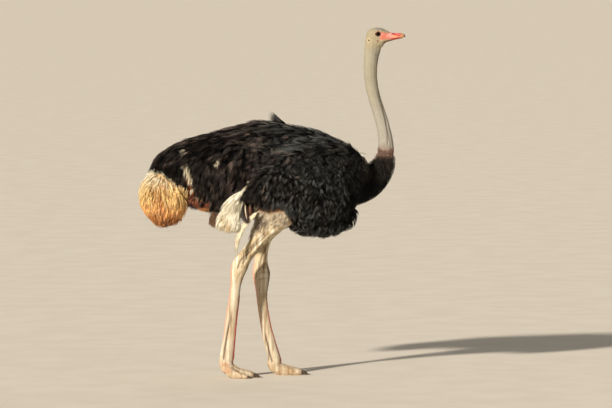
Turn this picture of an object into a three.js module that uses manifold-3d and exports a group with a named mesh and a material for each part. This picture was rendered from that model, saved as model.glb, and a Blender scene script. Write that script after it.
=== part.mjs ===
// An adult male ostrich standing on two feet, neck raised, head level, tail drooping.
// Millimetres, +Z up. The bird faces +X and its left side is +Y.
// The origin is on the ground, under the middle of its overall box.
//
// Every form is a loft: a smooth centre line with a section carried along it. A form is
// written down as a few stations, from one end to the other, each with its centre and how
// far the section reaches from it:
//   [x, z, up, down, side]
// For a form that runs forward, "up" is up. For one that runs down, as a leg does, "up" is
// towards the front, and for one that runs up, as the neck does, it is towards the back.

import * as THREE from "three";
import { mergeVertices } from "three/addons/utils/BufferGeometryUtils.js";
import Module from "manifold-3d";

const wasm = await Module();
wasm.setup();

// ---------------------------------------------------------------- driving dimensions

const CROWN_HEIGHT = 2093; // ground to the top of the head
const BACK_HEIGHT = 1541; // ground to the top of the plumage
const BREAST_HEIGHT = 838; // ground to the lowest feathers of the breast
const BILL_TIP_X = 802;
const TAIL_BACK_X = -802;
const WING_REACH = 300; // middle of the body to the outside of a folded wing

const GAP = 0.4; // left between two forms that meet

const RIGHT = -1; // the side of +Y that a form is on
const LEFT = 1;

// Plumage colours, skin and horn.
const FINISH = {
  black_plumage: { color: 0x18171a, roughness: 0.85, metalness: 0 },
  tail_plumage: { color: 0xe6b778, roughness: 0.9, metalness: 0 },
  white_plumage: { color: 0xe9dfc8, roughness: 0.9, metalness: 0 },
  neck_skin: { color: 0xb4ab9a, roughness: 0.75, metalness: 0 },
  leg_skin: { color: 0xd8c19c, roughness: 0.7, metalness: 0 },
  bill_horn: { color: 0xe38a73, roughness: 0.45, metalness: 0 },
  eye_gloss: { color: 0x1b100b, roughness: 0.08, metalness: 0 },
  claw_horn: { color: 0x5a4a3a, roughness: 0.5, metalness: 0 },
};

// ---------------------------------------------------------------- lofts

const FORWARD = new THREE.Vector3(1, 0, 0);
const SIDEWAYS = new THREE.Vector3(0, 1, 0);
const SMALLEST_END = 0.08; // share of a section left at a rounded end, as a tiny flat

// 1 in the middle of a form, falling off as an ellipse does over a rounded end.
function dome(t, [atStart, atEnd]) {
  const toStart = atStart > 0 ? Math.max(0, 1 - t / atStart) : 0;
  const toEnd = atEnd > 0 ? Math.max(0, 1 - (1 - t) / atEnd) : 0;
  const into = Math.max(toStart, toEnd);
  return Math.max(SMALLEST_END, Math.sqrt(Math.max(0, 1 - into * into)));
}

// A closed geometry that follows the stations. side is where its centre line lies across
// the body, as one number or as a function of the share of the way along. round gives the
// share of the length that each end takes to close. square above 2 makes a boxier section.
// pinch narrows the section behind its middle, as between a bone and its tendon. frill
// waves the outline towards the end in that many lobes. upright keeps every section
// vertical, for wide forms that run forward. bow bends the top and bottom of a section
// sideways by that much, so that it wraps what it lies on. grow makes everything fatter.
function loft(stations, options = {}) {
  const { across = 0, around = 16, along = 12, round = [0.1, 0.1] } = options;
  const { square = 2, pinch = 0, bow = 0, upright = false, grow = 0 } = options;
  const { frill = 0, lobes = 9 } = options;
  const centres = stations.map(
    ([x, z], i) => new THREE.Vector3(x, lateral(across, i / (stations.length - 1)), z),
  );
  const reaches = stations.map(([, , up, down, side]) => new THREE.Vector3(up, down, side));
  const line = new THREE.CatmullRomCurve3(centres);
  const reach = new THREE.CatmullRomCurve3(reaches, false, "catmullrom", 0.5);

  const geometry = new THREE.CylinderGeometry(1, 1, 1, around, along);
  const place = geometry.getAttribute("position");
  const at = new THREE.Vector3();
  for (let i = 0; i < place.count; i += 1) {
    at.fromBufferAttribute(place, i);
    const even = at.y + 0.5;
    const t = 0.5 * (even + (1 - Math.cos(Math.PI * even)) / 2);
    const forward = upright ? FORWARD : line.getTangent(t);
    const up = new THREE.Vector3().crossVectors(forward, SIDEWAYS).normalize();
    const side = new THREE.Vector3().crossVectors(up, forward).normalize();
    const size = reach.getPoint(t);
    const turn = Math.atan2(at.x, at.z);
    const hub = Math.hypot(at.x, at.z) < 0.5 ? 0 : 1;
    const bulge = Math.pow(
      Math.pow(Math.abs(Math.sin(turn)), square) + Math.pow(Math.abs(Math.cos(turn)), square),
      -1 / square,
    );
    const wave = 1 + frill * t * t * Math.cos(lobes * turn);
    const share = bulge * dome(t, round) * wave;
    const waist = 1 - pinch * Math.exp(-Math.pow((Math.sin(turn) + 0.3) / 0.3, 2));
    const tall = share * (Math.sin(turn) > 0 ? size.x : size.y) + grow;
    const rise = hub * Math.sin(turn) * tall;
    const wrap = hub * bow * share * Math.pow(Math.sin(turn), 2);
    const width = hub * Math.cos(turn) * (share * waist * size.z + grow) + wrap;
    const end = (t < 0.5 ? -1 : 1) * (t < 1e-6 || t > 1 - 1e-6 ? grow : 0);
    at.copy(line.getPoint(t));
    at.addScaledVector(up, rise).addScaledVector(side, width).addScaledVector(forward, end);
    place.setXYZ(i, at.x, at.y, at.z);
  }
  return geometry;
}

function lateral(across, share) {
  return typeof across === "function" ? across(share) : across;
}

// ---------------------------------------------------------------- cutting and joining

// A three.js geometry as a solid that can be cut and joined.
function solidOf(geometry) {
  const bare = geometry.clone();
  bare.deleteAttribute("normal");
  bare.deleteAttribute("uv");
  const merged = mergeVertices(bare, 1e-3);
  return new wasm.Manifold(
    new wasm.Mesh({
      numProp: 3,
      vertProperties: merged.getAttribute("position").array,
      triVerts: new Uint32Array(merged.index.array),
    }),
  );
}

function geometryOf(solid) {
  const mesh = solid.getMesh();
  const geometry = new THREE.BufferGeometry();
  geometry.setAttribute("position", new THREE.BufferAttribute(mesh.vertProperties, 3));
  geometry.setIndex(new THREE.BufferAttribute(mesh.triVerts, 1));
  geometry.computeVertexNormals();
  return geometry;
}

// What is left of a solid on the side of a plane that the direction points to, with half
// the gap taken off, so that the piece beyond it meets it with a gap between them.
function keepBeyond(solid, direction, distance) {
  return solid.trimByPlane(direction, distance + GAP / 2);
}

function keepBefore(solid, direction, distance) {
  return solid.trimByPlane(
    direction.map((c) => -c),
    -distance + GAP / 2,
  );
}

function without(solid, ...others) {
  return others.reduce((left, other) => left.subtract(other), solid);
}

// The largest piece, where a cut leaves slivers beside it.
function mainPiece(solid) {
  const pieces = solid.decompose();
  return pieces.reduce((best, piece) => (piece.volume() > best.volume() ? piece : best));
}

const bird = new THREE.Group();

function add(name, finish, solid) {
  const mesh = new THREE.Mesh(
    geometryOf(mainPiece(solid)),
    new THREE.MeshStandardMaterial(FINISH[finish]),
  );
  mesh.name = name;
  bird.add(mesh);
}

// ---------------------------------------------------------------- trunk

const TRUNK = {
  stations: [
    [-722, 1262, 22, 18, 50],
    [-690, 1275, 44, 35, 85],
    [-642, 1290, 72, 54, 120],
    [-582, 1290, 114, 156, 150],
    [-492, 1270, 170, 236, 180],
    [-342, 1245, 231, 264, 212],
    [-132, 1220, 304, 270, 230],
    [-12, 1215, BACK_HEIGHT - 1215, 290, 232],
    [108, 1200, 312, 315, 232],
    [252, 1176, 312, 334, 227],
    [348, 1160, 280, 1160 - BREAST_HEIGHT, 212],
    [426, 1155, 260, 286, 186],
    [480, 1158, 218, 262, 150],
    [514, 1160, 160, 236, 104],
  ],
  options: { around: 20, along: 16, round: [0.04, 0.05], upright: true },
};

function trunkForm(grow = 0) {
  return solidOf(loft(TRUNK.stations, { ...TRUNK.options, grow }));
}

const trunk = trunkForm();
const trunkCutter = trunkForm(GAP);
add("trunk", "black_plumage", trunk);

// ---------------------------------------------------------------- neck

// From inside the breast up to the head. The feathered base curves out of the breast, and
// the bare neck above it leans back and then rises straight.
const NECK = [
  [440, 1140, 130, 128, 110],
  [520, 1158, 122, 122, 100],
  [590, 1186, 104, 106, 88],
  [646, 1234, 86, 84, 74],
  [676, 1288, 70, 70, 60],
  [687, 1356, 52, 51, 46],
  [675, 1476, 41, 42, 38],
  [640, 1596, 38, 39, 35],
  [604, 1716, 38, 38, 34],
  [590, 1836, 40, 41, 35],
  [598, 1950, 44, 47, 36],
  [603, 2004, 45, 50, 35],
  [607, 2042, 43, 42, 33],
];
const COLLAR_Z = 1357; // where the black feathers end and the bare neck begins
const NECK_CUTS_Z = [COLLAR_Z, 1560, 1765, 1975];

function neckForm(grow = 0) {
  return solidOf(loft(NECK, { around: 14, along: 25, round: [0.03, 0.03], grow }));
}

// ---------------------------------------------------------------- head

const HEAD_FRONT_X = 696; // where skin gives way to the horn of the bill
const HEAD = [
  [566, 2030, 14, 26, 16],
  [582, 2034, 43, 48, 30],
  [606, 2036, 54, 55, 37],
  [636, 2038, CROWN_HEIGHT - 2038, 70, 39],
  [660, 2034, 56, 61, 36],
  [678, 2032, 50, 34, 32],
  [696, 2029, 45, 18, 29.5],
  [714, 2029, 37, 12, 28],
];

const EYE = { x: 630, y: 18, z: 2055, radius: 24.5, flatY: 5 };
const EAR = { x: 581, z: 2019, y: 22, outer: 8.5, inner: 4, depth: 12 };
const GAPE_CORNER_X = 645;
const LIP_GAP = 1.2;

// Height of the line where the two halves of the bill meet.
const gapeLine = new THREE.SplineCurve([
  new THREE.Vector2(GAPE_CORNER_X, 2015),
  new THREE.Vector2(HEAD_FRONT_X, 2026),
  new THREE.Vector2(745, 2034),
  new THREE.Vector2(BILL_TIP_X + 8, 2040),
]);

function headForm(grow = 0) {
  return solidOf(
    loft(HEAD, { around: 16, along: 12, round: [0.12, 0], square: 2.2, grow }),
  );
}

// A thin plate along the gape, as wide as the head, that parts the two halves of the bill.
function gapePlate() {
  const line = gapeLine.getPoints(8);
  const outline = [
    ...line.map((p) => new THREE.Vector2(p.x, p.y - LIP_GAP / 2)),
    ...line.reverse().map((p) => new THREE.Vector2(p.x, p.y + LIP_GAP / 2)),
  ];
  const width = 120;
  const plate = new THREE.ExtrudeGeometry(new THREE.Shape(outline), {
    depth: width,
    bevelEnabled: false,
  });
  plate.rotateX(Math.PI / 2).translate(0, width / 2, 0);
  return solidOf(plate);
}

// The eyeball shows only its outer part: two whole ones would meet inside the skull.
function eyeball(side, grow = 0) {
  const ball = new THREE.SphereGeometry(EYE.radius + grow, 14, 8);
  ball.translate(EYE.x, side * EYE.y, EYE.z);
  return solidOf(ball).trimByPlane([0, side, 0], EYE.flatY - grow);
}

// The ear is a low ring of skin round an open hole, let into the side of the head.
function earRing(side, grow = 0) {
  const { outer, inner, depth } = EAR;
  const profile = [
    [inner, 0],
    [outer + grow, 0],
    [outer + grow, depth - 2],
    [(outer + inner) / 2, depth],
    [inner, depth - 2],
    [inner, 0],
  ].map(([r, h]) => new THREE.Vector2(r, h));
  const ring = new THREE.LatheGeometry(profile, 10);
  ring.rotateX(side === LEFT ? 0 : Math.PI).translate(EAR.x, side * EAR.y, EAR.z);
  return solidOf(ring);
}

function earHole(side) {
  const drill = new THREE.CylinderGeometry(EAR.outer + GAP, EAR.outer + GAP, 40, 10);
  drill.translate(EAR.x, side * (EAR.y - GAP + 20), EAR.z);
  return solidOf(drill);
}

const BILL_TOP = [
  [686, 2023, 62, 3, 30.5],
  [714, 2028, 42, 2, 28.5],
  [735, 2032, 33, 2, 27],
  [756, 2035, 30, 2, 25],
  [777, 2037, 27, 2, 21],
  [792, 2039, 18, 3, 15.5],
  [BILL_TIP_X, 2039, 6, 4, 8],
];

const BILL_BOTTOM = [
  [686, 2023, 3, 15, 29],
  [714, 2028, 2, 12, 26],
  [735, 2032, 2, 10, 24],
  [756, 2035, 2, 8, 21.5],
  [777, 2037, 2, 7, 17],
  [790, 2039, 2, 5, 11],
];

// One nostril: a slot that slants along the side of the upper bill.
function nostril(side) {
  const slot = loft(
    [
      [716, 2057, 3.5, 3.5, 7],
      [734, 2055, 5, 5, 7],
      [760, 2051, 3, 3, 6],
    ],
    { across: (t) => side * (23.5 - 3 * t), around: 8, along: 4 },
  );
  return solidOf(slot);
}

function addHead() {
  const neck = neckForm();
  const headNeck = headForm().add(keepBeyond(neck, [0, 0, 1], NECK_CUTS_Z[3]));
  const eyes = [RIGHT, LEFT].map((side) => eyeball(side, GAP));
  const ears = [RIGHT, LEFT].map((side) => earHole(side));
  const skull = keepBefore(headNeck, [1, 0, 0], HEAD_FRONT_X);
  add("head", "neck_skin", without(skull, gapePlate(), ...eyes, ...ears));

  const upper = solidOf(loft(BILL_TOP, { around: 14, along: 10, round: [0, 0.1], square: 2.3 }));
  const lower = solidOf(loft(BILL_BOTTOM, { around: 12, along: 8, round: [0, 0.1] }));
  const nostrils = [RIGHT, LEFT].map((side) => nostril(side));
  const horn = (half) => without(keepBeyond(half, [1, 0, 0], HEAD_FRONT_X), gapePlate());
  add("bill_upper", "bill_horn", without(horn(upper), ...nostrils));
  add("bill_lower", "bill_horn", without(horn(lower), upper));

  const cheeks = neck.add(headForm());
  for (const [side, word] of [[RIGHT, "right"], [LEFT, "left"]]) {
    add(`eye_${word}`, "eye_gloss", eyeball(side));
    add(`ear_${word}`, "neck_skin", earRing(side).intersect(headForm(1.5).add(cheeks)));
  }
}

function addNeck() {
  const neck = without(neckForm(), trunkCutter, headForm(GAP));
  const lengths = ["neck_base", "neck_lower", "neck_middle", "neck_upper"];
  lengths.forEach((name, i) => {
    const above = i > 0 ? keepBeyond(neck, [0, 0, 1], NECK_CUTS_Z[i - 1]) : neck;
    const finish = i > 0 ? "neck_skin" : "black_plumage";
    add(name, finish, keepBefore(above, [0, 0, 1], NECK_CUTS_Z[i]));
  });
}

// ---------------------------------------------------------------- tail and wings

const TAIL = {
  stations: [
    [-640, 1262, 60, 50, 60],
    [-650, 1200, 100, 104, 104],
    [-656, 1115, 142, -656 - TAIL_BACK_X, 146],
    [-654, 1040, 140, 140, 156],
    [-654, 975, 108, 108, 138],
    [-662, 925, 62, 64, 92],
    [-668, 898, 20, 20, 34],
  ],
  options: { around: 18, along: 9, round: [0.1, 0.08], frill: 0.06, lobes: 6 },
};

const WING = {
  stations: [
    [-196, 1072, 26, 30, 34],
    [-132, 1120, 92, 84, 74],
    [-54, 1170, 156, 150, 96],
    [30, 1190, 200, 200, 116],
    [114, 1190, 234, 256, 120],
    [204, 1170, 262, 300, 120],
    [318, 1150, 266, 302, 117],
    [402, 1155, 250, 284, 104],
    [462, 1170, 226, 244, 84],
    [504, 1192, 188, 180, 68],
    [545, 1222, 140, 110, 56],
    [570, 1250, 84, 66, 44],
    [588, 1276, 30, 36, 30],
  ],
  across: WING_REACH - 120,
  tuck: 66, // how much nearer the middle the front of the wing lies, against the neck
  bow: 62,
  options: { around: 16, along: 12, round: [0.06, 0.06], square: 2.2, upright: true },
};

// One long loose feather that curls down from under the right wing.
const LOOSE_PLUME = {
  stations: [
    [-112, 1010, 5, 5, 12],
    [-118, 968, 6, 6, 14],
    [-142, 934, 7, 7, 15],
    [-178, 906, 8, 8, 15],
    [-200, 856, 7, 7, 13],
    [-208, 806, 4, 4, 8],
    [-206, 772, 2, 2, 4],
  ],
  across: -196,
  around: 6,
  along: 10,
  round: [0.05, 0.05],
};

// The long white feathers that hang from the end of the folded wing, as one mass.
const PLUME = {
  stations: [
    [-120, 1186, 16, 16, 14],
    [-168, 1112, 28, 26, 24],
    [-226, 1034, 58, 52, 42],
    [-252, 968, 84, 78, 56],
    [-256, 914, 74, 74, 52],
    [-262, 874, 30, 34, 28],
  ],
  across: 212,
  leftSetBack: 52, // the left wing hangs further back than the right one
  options: { around: 12, along: 8, round: [0.1, 0.1], frill: 0.08, lobes: 4 },
};

function wingForm(side, grow = 0) {
  const { stations, across, tuck, bow, options } = WING;
  const lie = (t) => side * (across - tuck * Math.pow(t, 3));
  return solidOf(loft(stations, { ...options, across: lie, bow: -side * bow, grow }));
}

function plumeForm(side, grow = 0) {
  const { stations, across, leftSetBack, options } = PLUME;
  const back = side === LEFT ? leftSetBack : 0;
  const moved = stations.map(([x, ...rest]) => [x - back, ...rest]);
  return solidOf(loft(moved, { ...options, across: side * across, grow }));
}

function addTailAndWings() {
  const tail = solidOf(loft(TAIL.stations, TAIL.options));
  add("tail", "tail_plumage", without(tail, trunkCutter));
  for (const [side, word] of [[RIGHT, "right"], [LEFT, "left"]]) {
    const wing = without(wingForm(side), trunkCutter, neckForm(GAP));
    const plume = without(plumeForm(side), trunkCutter, wingForm(side, GAP));
    add(`wing_${word}`, "black_plumage", wing);
    add(`wing_plumes_${word}`, "white_plumage", plume);
  }
  const loose = solidOf(loft(LOOSE_PLUME.stations, LOOSE_PLUME));
  const coverers = [trunkCutter, wingForm(RIGHT, GAP), plumeForm(RIGHT, GAP)];
  add("loose_plume_right", "white_plumage", without(loose, ...coverers));
}

// ---------------------------------------------------------------- legs

// The right leg stands behind the left one. Stations run from the thigh, inside the
// plumage, down over the backward-pointing ankle to the joint above the toes.
const LEGS = {
  right: {
    side: RIGHT,
    stations: [
      [128, 1060, 126, 130, 84],
      [70, 965, 66, 146, 80],
      [10, 908, 47, 124, 68],
      [-42, 862, 41, 84, 54],
      [-81, 819, 41, 54, 44],
      [-117, 777, 41, 42, 38],
      [-158, 726, 42, 43, 36],
      [-190, 672, 50, 52, 37],
      [-204, 618, 40, 42, 33],
      [-216, 552, 31, 31, 26],
      [-225, 462, 31, 33, 24],
      [-240, 366, 34, 35, 24],
      [-252, 258, 36, 36, 25],
      [-264, 168, 40, 40, 31],
      [-270, 98, 42, 46, 39],
    ],
    cuts: [833, 652, 104],
    footX: -270,
    footZ: 98,
  },
  left: {
    side: LEFT,
    stations: [
      [110, 1040, 112, 112, 84],
      [66, 950, 62, 118, 74],
      [12, 888, 46, 96, 60],
      [-32, 838, 40, 62, 47],
      [-54, 780, 38, 42, 40],
      [-62, 720, 36, 40, 37],
      [-66, 670, 42, 44, 35],
      [-64, 614, 54, 55, 37],
      [-62, 552, 44, 44, 33],
      [-62, 484, 33, 33, 26],
      [-54, 404, 31, 31, 24],
      [-36, 296, 31, 32, 23],
      [-14, 200, 35, 35, 27],
      [6, 128, 38, 35, 33],
      [18, 80, 42, 40, 39],
    ],
    cuts: [842, 604, 86],
    footX: 18,
    footZ: 80,
  },
};
const THIGH_ACROSS = 128;
const ANKLE_ACROSS = 104;
const FOOT_ACROSS = 96;
const ANKLE_SHARE = 0.46; // share of the leg's length above the ankle

// A leg leans in from the thigh to the ankle, and then drops nearly straight.
function legAcross(side) {
  return (t) => {
    const above = Math.min(1, t / ANKLE_SHARE);
    const below = Math.max(0, (t - ANKLE_SHARE) / (1 - ANKLE_SHARE));
    const lean = THIGH_ACROSS + (ANKLE_ACROSS - THIGH_ACROSS) * above;
    return side * (lean + (FOOT_ACROSS - ANKLE_ACROSS) * below);
  };
}

function legForm({ side, stations }, grow = 0) {
  const options = { across: legAcross(side), around: 12, along: 28, round: [0.05, 0] };
  return solidOf(loft(stations, { ...options, pinch: 0.16, grow }));
}

// Two toes: the long third one straight ahead and the short fourth one outside it. Both
// are flat underneath where they stand on the ground.
function thirdToe({ side, footX, footZ }, grow = 0) {
  const toe = loft(
    [
      [footX + 1, footZ + 44, 38, 42, 35],
      [footX - 3, footZ - 4, 42, 46, 38],
      [footX + 13, footZ * 0.6, 37, 46, 36],
      [footX + 52, 34, 31, 42, 33],
      [footX + 102, 27, 24, 34, 31],
      [footX + 140, 22, 20, 28, 28],
      [footX + 170, 17, 14, 22, 20],
    ],
    { across: side * (FOOT_ACROSS - 4), around: 12, along: 9, round: [0.1, 0.12], grow },
  );
  return solidOf(toe);
}

function thirdClaw({ side, footX }) {
  const claw = loft(
    [
      [footX + 152, 22, 12, 14, 15],
      [footX + 174, 18, 11, 15, 12],
      [footX + 190, 11, 7, 10, 8],
      [footX + 201, 6, 3, 5, 4],
    ],
    { across: side * (FOOT_ACROSS - 4), around: 8, along: 4, round: [0.1, 0.15] },
  );
  return solidOf(claw);
}

function fourthToe({ side, footX, footZ }, grow = 0) {
  const toe = loft(
    [
      [footX + 6, footZ * 0.7, 26, 30, 24],
      [footX + 34, 34, 22, 34, 22],
      [footX + 74, 19, 17, 26, 20],
      [footX + 112, 14, 12, 18, 15],
      [footX + 128, 12, 8, 14, 10],
    ],
    {
      across: (t) => side * (FOOT_ACROSS + 20 + 42 * t),
      around: 10,
      along: 7,
      round: [0.1, 0.14],
      grow,
    },
  );
  return solidOf(toe);
}

function fourthNail({ side, footX }) {
  const nail = loft(
    [
      [footX + 120, 16, 6, 7, 7],
      [footX + 134, 12, 6, 9, 6],
      [footX + 146, 6, 3, 5, 3.5],
    ],
    { across: side * (FOOT_ACROSS + 62), around: 6, along: 3, round: [0.1, 0.15] },
  );
  return solidOf(nail);
}

const UP = [0, 0, 1];

function addLeg(word) {
  const leg = LEGS[word];
  const [knee, ankle, foot] = leg.cuts;
  const body = [trunkCutter, wingForm(leg.side, GAP), plumeForm(leg.side, GAP)];
  const limb = legForm(leg);
  add(`thigh_${word}`, "leg_skin", without(keepBeyond(limb, UP, knee), ...body));
  const lower = keepBefore(limb, UP, knee);
  add(`shank_${word}`, "leg_skin", keepBeyond(lower, UP, ankle));
  add(`tarsus_${word}`, "leg_skin", keepBeyond(keepBefore(lower, UP, ankle), UP, foot));

  const onGround = (toe) => toe.trimByPlane(UP, 0);
  const third = keepBefore(onGround(thirdToe(leg)), UP, foot);
  const fourth = keepBefore(onGround(fourthToe(leg)), UP, foot);
  const claw = without(onGround(thirdClaw(leg)), thirdToe(leg, GAP));
  const nail = without(onGround(fourthNail(leg)), fourthToe(leg, GAP), thirdToe(leg, GAP));
  add(`toe_third_${word}`, "leg_skin", third);
  add(`toe_fourth_${word}`, "leg_skin", without(fourth, thirdToe(leg, GAP)));
  add(`claw_third_${word}`, "claw_horn", claw);
  add(`claw_fourth_${word}`, "claw_horn", nail);
}

addNeck();
addHead();
addTailAndWings();
addLeg("right");
addLeg("left");

// The toes' soles and the outermost feather tips settle where the origin is.
const box = new THREE.Box3().setFromObject(bird);
const middle = box.getCenter(new THREE.Vector3());
for (const mesh of bird.children) {
  mesh.geometry.translate(-middle.x, -middle.y, -box.min.z);
}

export default bird;
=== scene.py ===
# %% [markdown]
# # A standing ostrich, life size
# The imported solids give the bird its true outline, down to the tips of its feathers. This script
# dresses them: one skin without seams, horn and eyes, and then the coat, which is thousands of
# small closed blades of mesh. Lengths are in metres. The bird faces +X, its left is +Y, and it
# stands on Z = 0.

# %% Load the frame
import math

import bmesh
import bpy
import numpy as np
from mathutils import Matrix, Vector, noise
from mathutils.bvhtree import BVHTree
from mathutils.kdtree import KDTree


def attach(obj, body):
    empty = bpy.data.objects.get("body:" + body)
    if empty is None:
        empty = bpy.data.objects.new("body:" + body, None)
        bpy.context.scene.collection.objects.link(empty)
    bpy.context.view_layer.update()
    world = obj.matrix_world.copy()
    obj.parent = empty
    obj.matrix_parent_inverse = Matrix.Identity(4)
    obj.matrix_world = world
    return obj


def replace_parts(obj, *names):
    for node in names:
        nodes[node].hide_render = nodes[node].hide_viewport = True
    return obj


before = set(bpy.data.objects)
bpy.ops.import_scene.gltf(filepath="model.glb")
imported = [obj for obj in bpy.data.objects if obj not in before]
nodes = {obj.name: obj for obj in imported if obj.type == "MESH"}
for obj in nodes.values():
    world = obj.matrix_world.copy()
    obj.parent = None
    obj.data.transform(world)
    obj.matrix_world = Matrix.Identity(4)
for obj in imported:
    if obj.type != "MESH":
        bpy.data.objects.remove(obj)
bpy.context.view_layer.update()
SIDES = {"right": -1.0, "left": 1.0}

# %% [markdown]
# ## Camera
# A long lens far away keeps a tall bird free of distortion, and the camera looks very slightly
# down. The focal length follows from how many metres should fit across the picture.

# %% Camera
LOOK_AT = Vector((0.204, 0.0, 1.038))
CAMERA_DISTANCE = 25.0
CAMERA_ELEVATION = math.radians(3)
WIDTH_IN_VIEW = 3.672

camera_data = bpy.data.cameras.new("camera")
camera_data.sensor_width = 36
camera_data.lens = camera_data.sensor_width * CAMERA_DISTANCE / WIDTH_IN_VIEW
camera_data.clip_end = 6000
camera = bpy.data.objects.new("camera", camera_data)
bpy.context.scene.collection.objects.link(camera)
camera.location = LOOK_AT + CAMERA_DISTANCE * Vector(
    (0, -math.cos(CAMERA_ELEVATION), math.sin(CAMERA_ELEVATION)))
camera.rotation_euler = (LOOK_AT - camera.location).to_track_quat("-Z", "Y").to_euler()
bpy.context.scene.camera = camera
bpy.context.scene.view_settings.view_transform = "Standard"

# %% [markdown]
# ## Lights
# A distant warm light stands low in front on the left, which keeps the floor even to its far
# edge. Two weak ones fill the other sides, and the pale sky colour softens what they leave dark.


# %% Lights
def sun(name, comes_from, strength, spread, colour):
    """A distant lamp whose spread, in degrees, sets how soft its shadows are."""
    data = bpy.data.lights.new(name, "SUN")
    data.energy, data.angle, data.color = strength, math.radians(spread), colour
    lamp = bpy.data.objects.new(name, data)
    bpy.context.scene.collection.objects.link(lamp)
    lamp.location = LOOK_AT + Vector(comes_from) * 4
    lamp.rotation_euler = Vector(comes_from).to_track_quat("Z", "Y").to_euler()


sun("key_light", (-0.60, -0.80, 0.40), 4.9, 3, (1.0, 0.93, 0.82))
sun("fill_light", (0.9, -0.7, 0.6), 0.10, 50, (0.86, 0.92, 1.0))
sun("back_light", (0.2, 0.9, 0.7), 0.30, 50, (1.0, 0.96, 0.90))
world = bpy.data.worlds.new("sky")
world.use_nodes = True
world.node_tree.nodes["Background"].inputs["Color"].default_value = (0.84, 0.80, 0.74, 1)
world.node_tree.nodes["Background"].inputs["Strength"].default_value = 0.21
bpy.context.scene.world = world

# %% [markdown]
# ## Materials as expressions
# A material is a web of nodes, which is slow to read as a list of links. The class below wraps
# one output socket, so that `1 - mask` or `height * 0.5` adds the Math node it needs. Every
# other node comes from its one method `add`.


# %% The shader class
class Wire:
    """One output socket of a material. Arithmetic on it adds the nodes that do the sum."""

    def __init__(self, tree, socket=None):
        self.tree, self.socket = tree, socket

    def add(self, kind, settings=None, sockets=None, out=0):
        """Adds a node, sets it up, then fills its sockets with values or links."""
        node = self.tree.nodes.new(kind)
        for key, value in (settings or {}).items():
            setattr(node, key, value)
        for key, value in (sockets or {}).items():
            if isinstance(value, Wire):
                self.tree.links.new(value.socket, node.inputs[key])
            else:
                node.inputs[key].default_value = value
        return Wire(self.tree, node.outputs[out])

    def math(self, operation, *values):
        return self.add("ShaderNodeMath", {"operation": operation}, dict(enumerate(values)))

    def __add__(self, other):
        return self.math("ADD", self, other)

    def __sub__(self, other):
        return self.math("SUBTRACT", self, other)

    def __rsub__(self, other):
        return self.math("SUBTRACT", other, self)

    def __mul__(self, other):
        return self.math("MULTIPLY", self, other)

    def __truediv__(self, other):
        return self.math("DIVIDE", self, other)

    def __pow__(self, other):
        return self.math("POWER", self, other)

    __radd__, __rmul__ = __add__, __mul__

    def size(self):
        return self.math("ABSOLUTE", self)

    def ramp(self, low, high):
        """0 below low, 1 above high, and smooth between. With low above high it falls."""
        flip = low > high
        low, high = min(low, high), max(low, high)
        step = self.add("ShaderNodeMapRange", {"interpolation_type": "SMOOTHSTEP"},
                        {"Value": self, "From Min": low, "From Max": high})
        return 1 - step if flip else step

    def mix(self, plain, marked):
        """The plain colour where this is 0 and the marked colour where it is 1."""
        return self.add("ShaderNodeMix", {"data_type": "RGBA"}, {0: self, 6: plain, 7: marked}, 2)

    def axes(self):
        """The x, y and z of a vector socket."""
        node = self.tree.nodes.new("ShaderNodeSeparateXYZ")
        self.tree.links.new(self.socket, node.inputs[0])
        return [Wire(self.tree, output) for output in node.outputs]

    def place(self):
        return self.add("ShaderNodeTexCoord", out="Object")

    def field(self, name):
        """A number that the mesh carries at each of its points."""
        return self.add("ShaderNodeAttribute", {"attribute_name": name}, out="Fac")

    def scaled(self, stretch):
        return self.add("ShaderNodeVectorMath", {"operation": "MULTIPLY"}, {0: self, 1: stretch})

    def noise(self, scale, detail=3.0, stretch=(1, 1, 1)):
        return self.add("ShaderNodeTexNoise", sockets={
            "Vector": self.place().scaled(stretch), "Scale": scale, "Detail": detail})

    def cells(self, scale, stretch=(1, 1, 1)):
        """How far each place lies from the edge of its cell, for the scales of skin."""
        return self.add("ShaderNodeTexVoronoi", {"feature": "DISTANCE_TO_EDGE"}, {
            "Vector": self.place().scaled(stretch), "Scale": scale})

    def bump(self, height, millimetres):
        return self.add("ShaderNodeBump", sockets={
            "Height": height, "Distance": millimetres / 1000, "Strength": 1.0})


# %% [markdown]
# Colours are written as a painter reads them on screen, and made linear for the shader. A finish
# is one material: a function gives what varies over the surface, and the rest are constants.


# %% Colours and finishes
def paint(front_red_and_shade, green, blue):
    """A linear colour from one on screen, whose parts run from 0 to 255."""
    def linear(c):
        c /= 255
        return c / 12.92 if c <= 0.04045 else ((c + 0.055) / 1.055) ** 2.4
    return (linear(front_red_and_shade), linear(green), linear(blue), 1.0)


def finish(name, varying, **constants):
    """A material. varying(wire) returns the shader's linked sockets, the rest are constants."""
    material = bpy.data.materials.new(name)
    material.use_nodes = True
    tree = material.node_tree
    shader = tree.nodes["Principled BSDF"]
    for socket, value in constants.items():
        shader.inputs[socket.replace("_", " ")].default_value = value
    for socket, wire in varying(Wire(tree)).items():
        tree.links.new(wire.socket, shader.inputs[socket])
    return material


# %% [markdown]
# ## Floor
# The floor is one wide pale disc, so that it fills the picture from any side.


# %% Floor
def as_mesh(bm, name):
    """Turns a bmesh into a mesh and lets go of the bmesh."""
    mesh = bpy.data.meshes.new(name)
    bm.to_mesh(mesh)
    bm.free()
    return mesh


def floor_finish(w):
    grain = w.noise(3.0, 4.0)
    return {"Base Color": grain.ramp(0.3, 0.7).mix(paint(232, 222, 206), paint(238, 229, 214))}


FLOOR_RADIUS = 2000.0
floor_bm = bmesh.new()
bmesh.ops.create_circle(floor_bm, cap_ends=True, segments=96, radius=FLOOR_RADIUS)
floor_mesh = as_mesh(floor_bm, "floor")
floor_mesh.materials.append(finish("floor_paint", floor_finish, Roughness=0.9))
floor = bpy.data.objects.new("floor", floor_mesh)
bpy.context.scene.collection.objects.link(floor)

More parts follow.
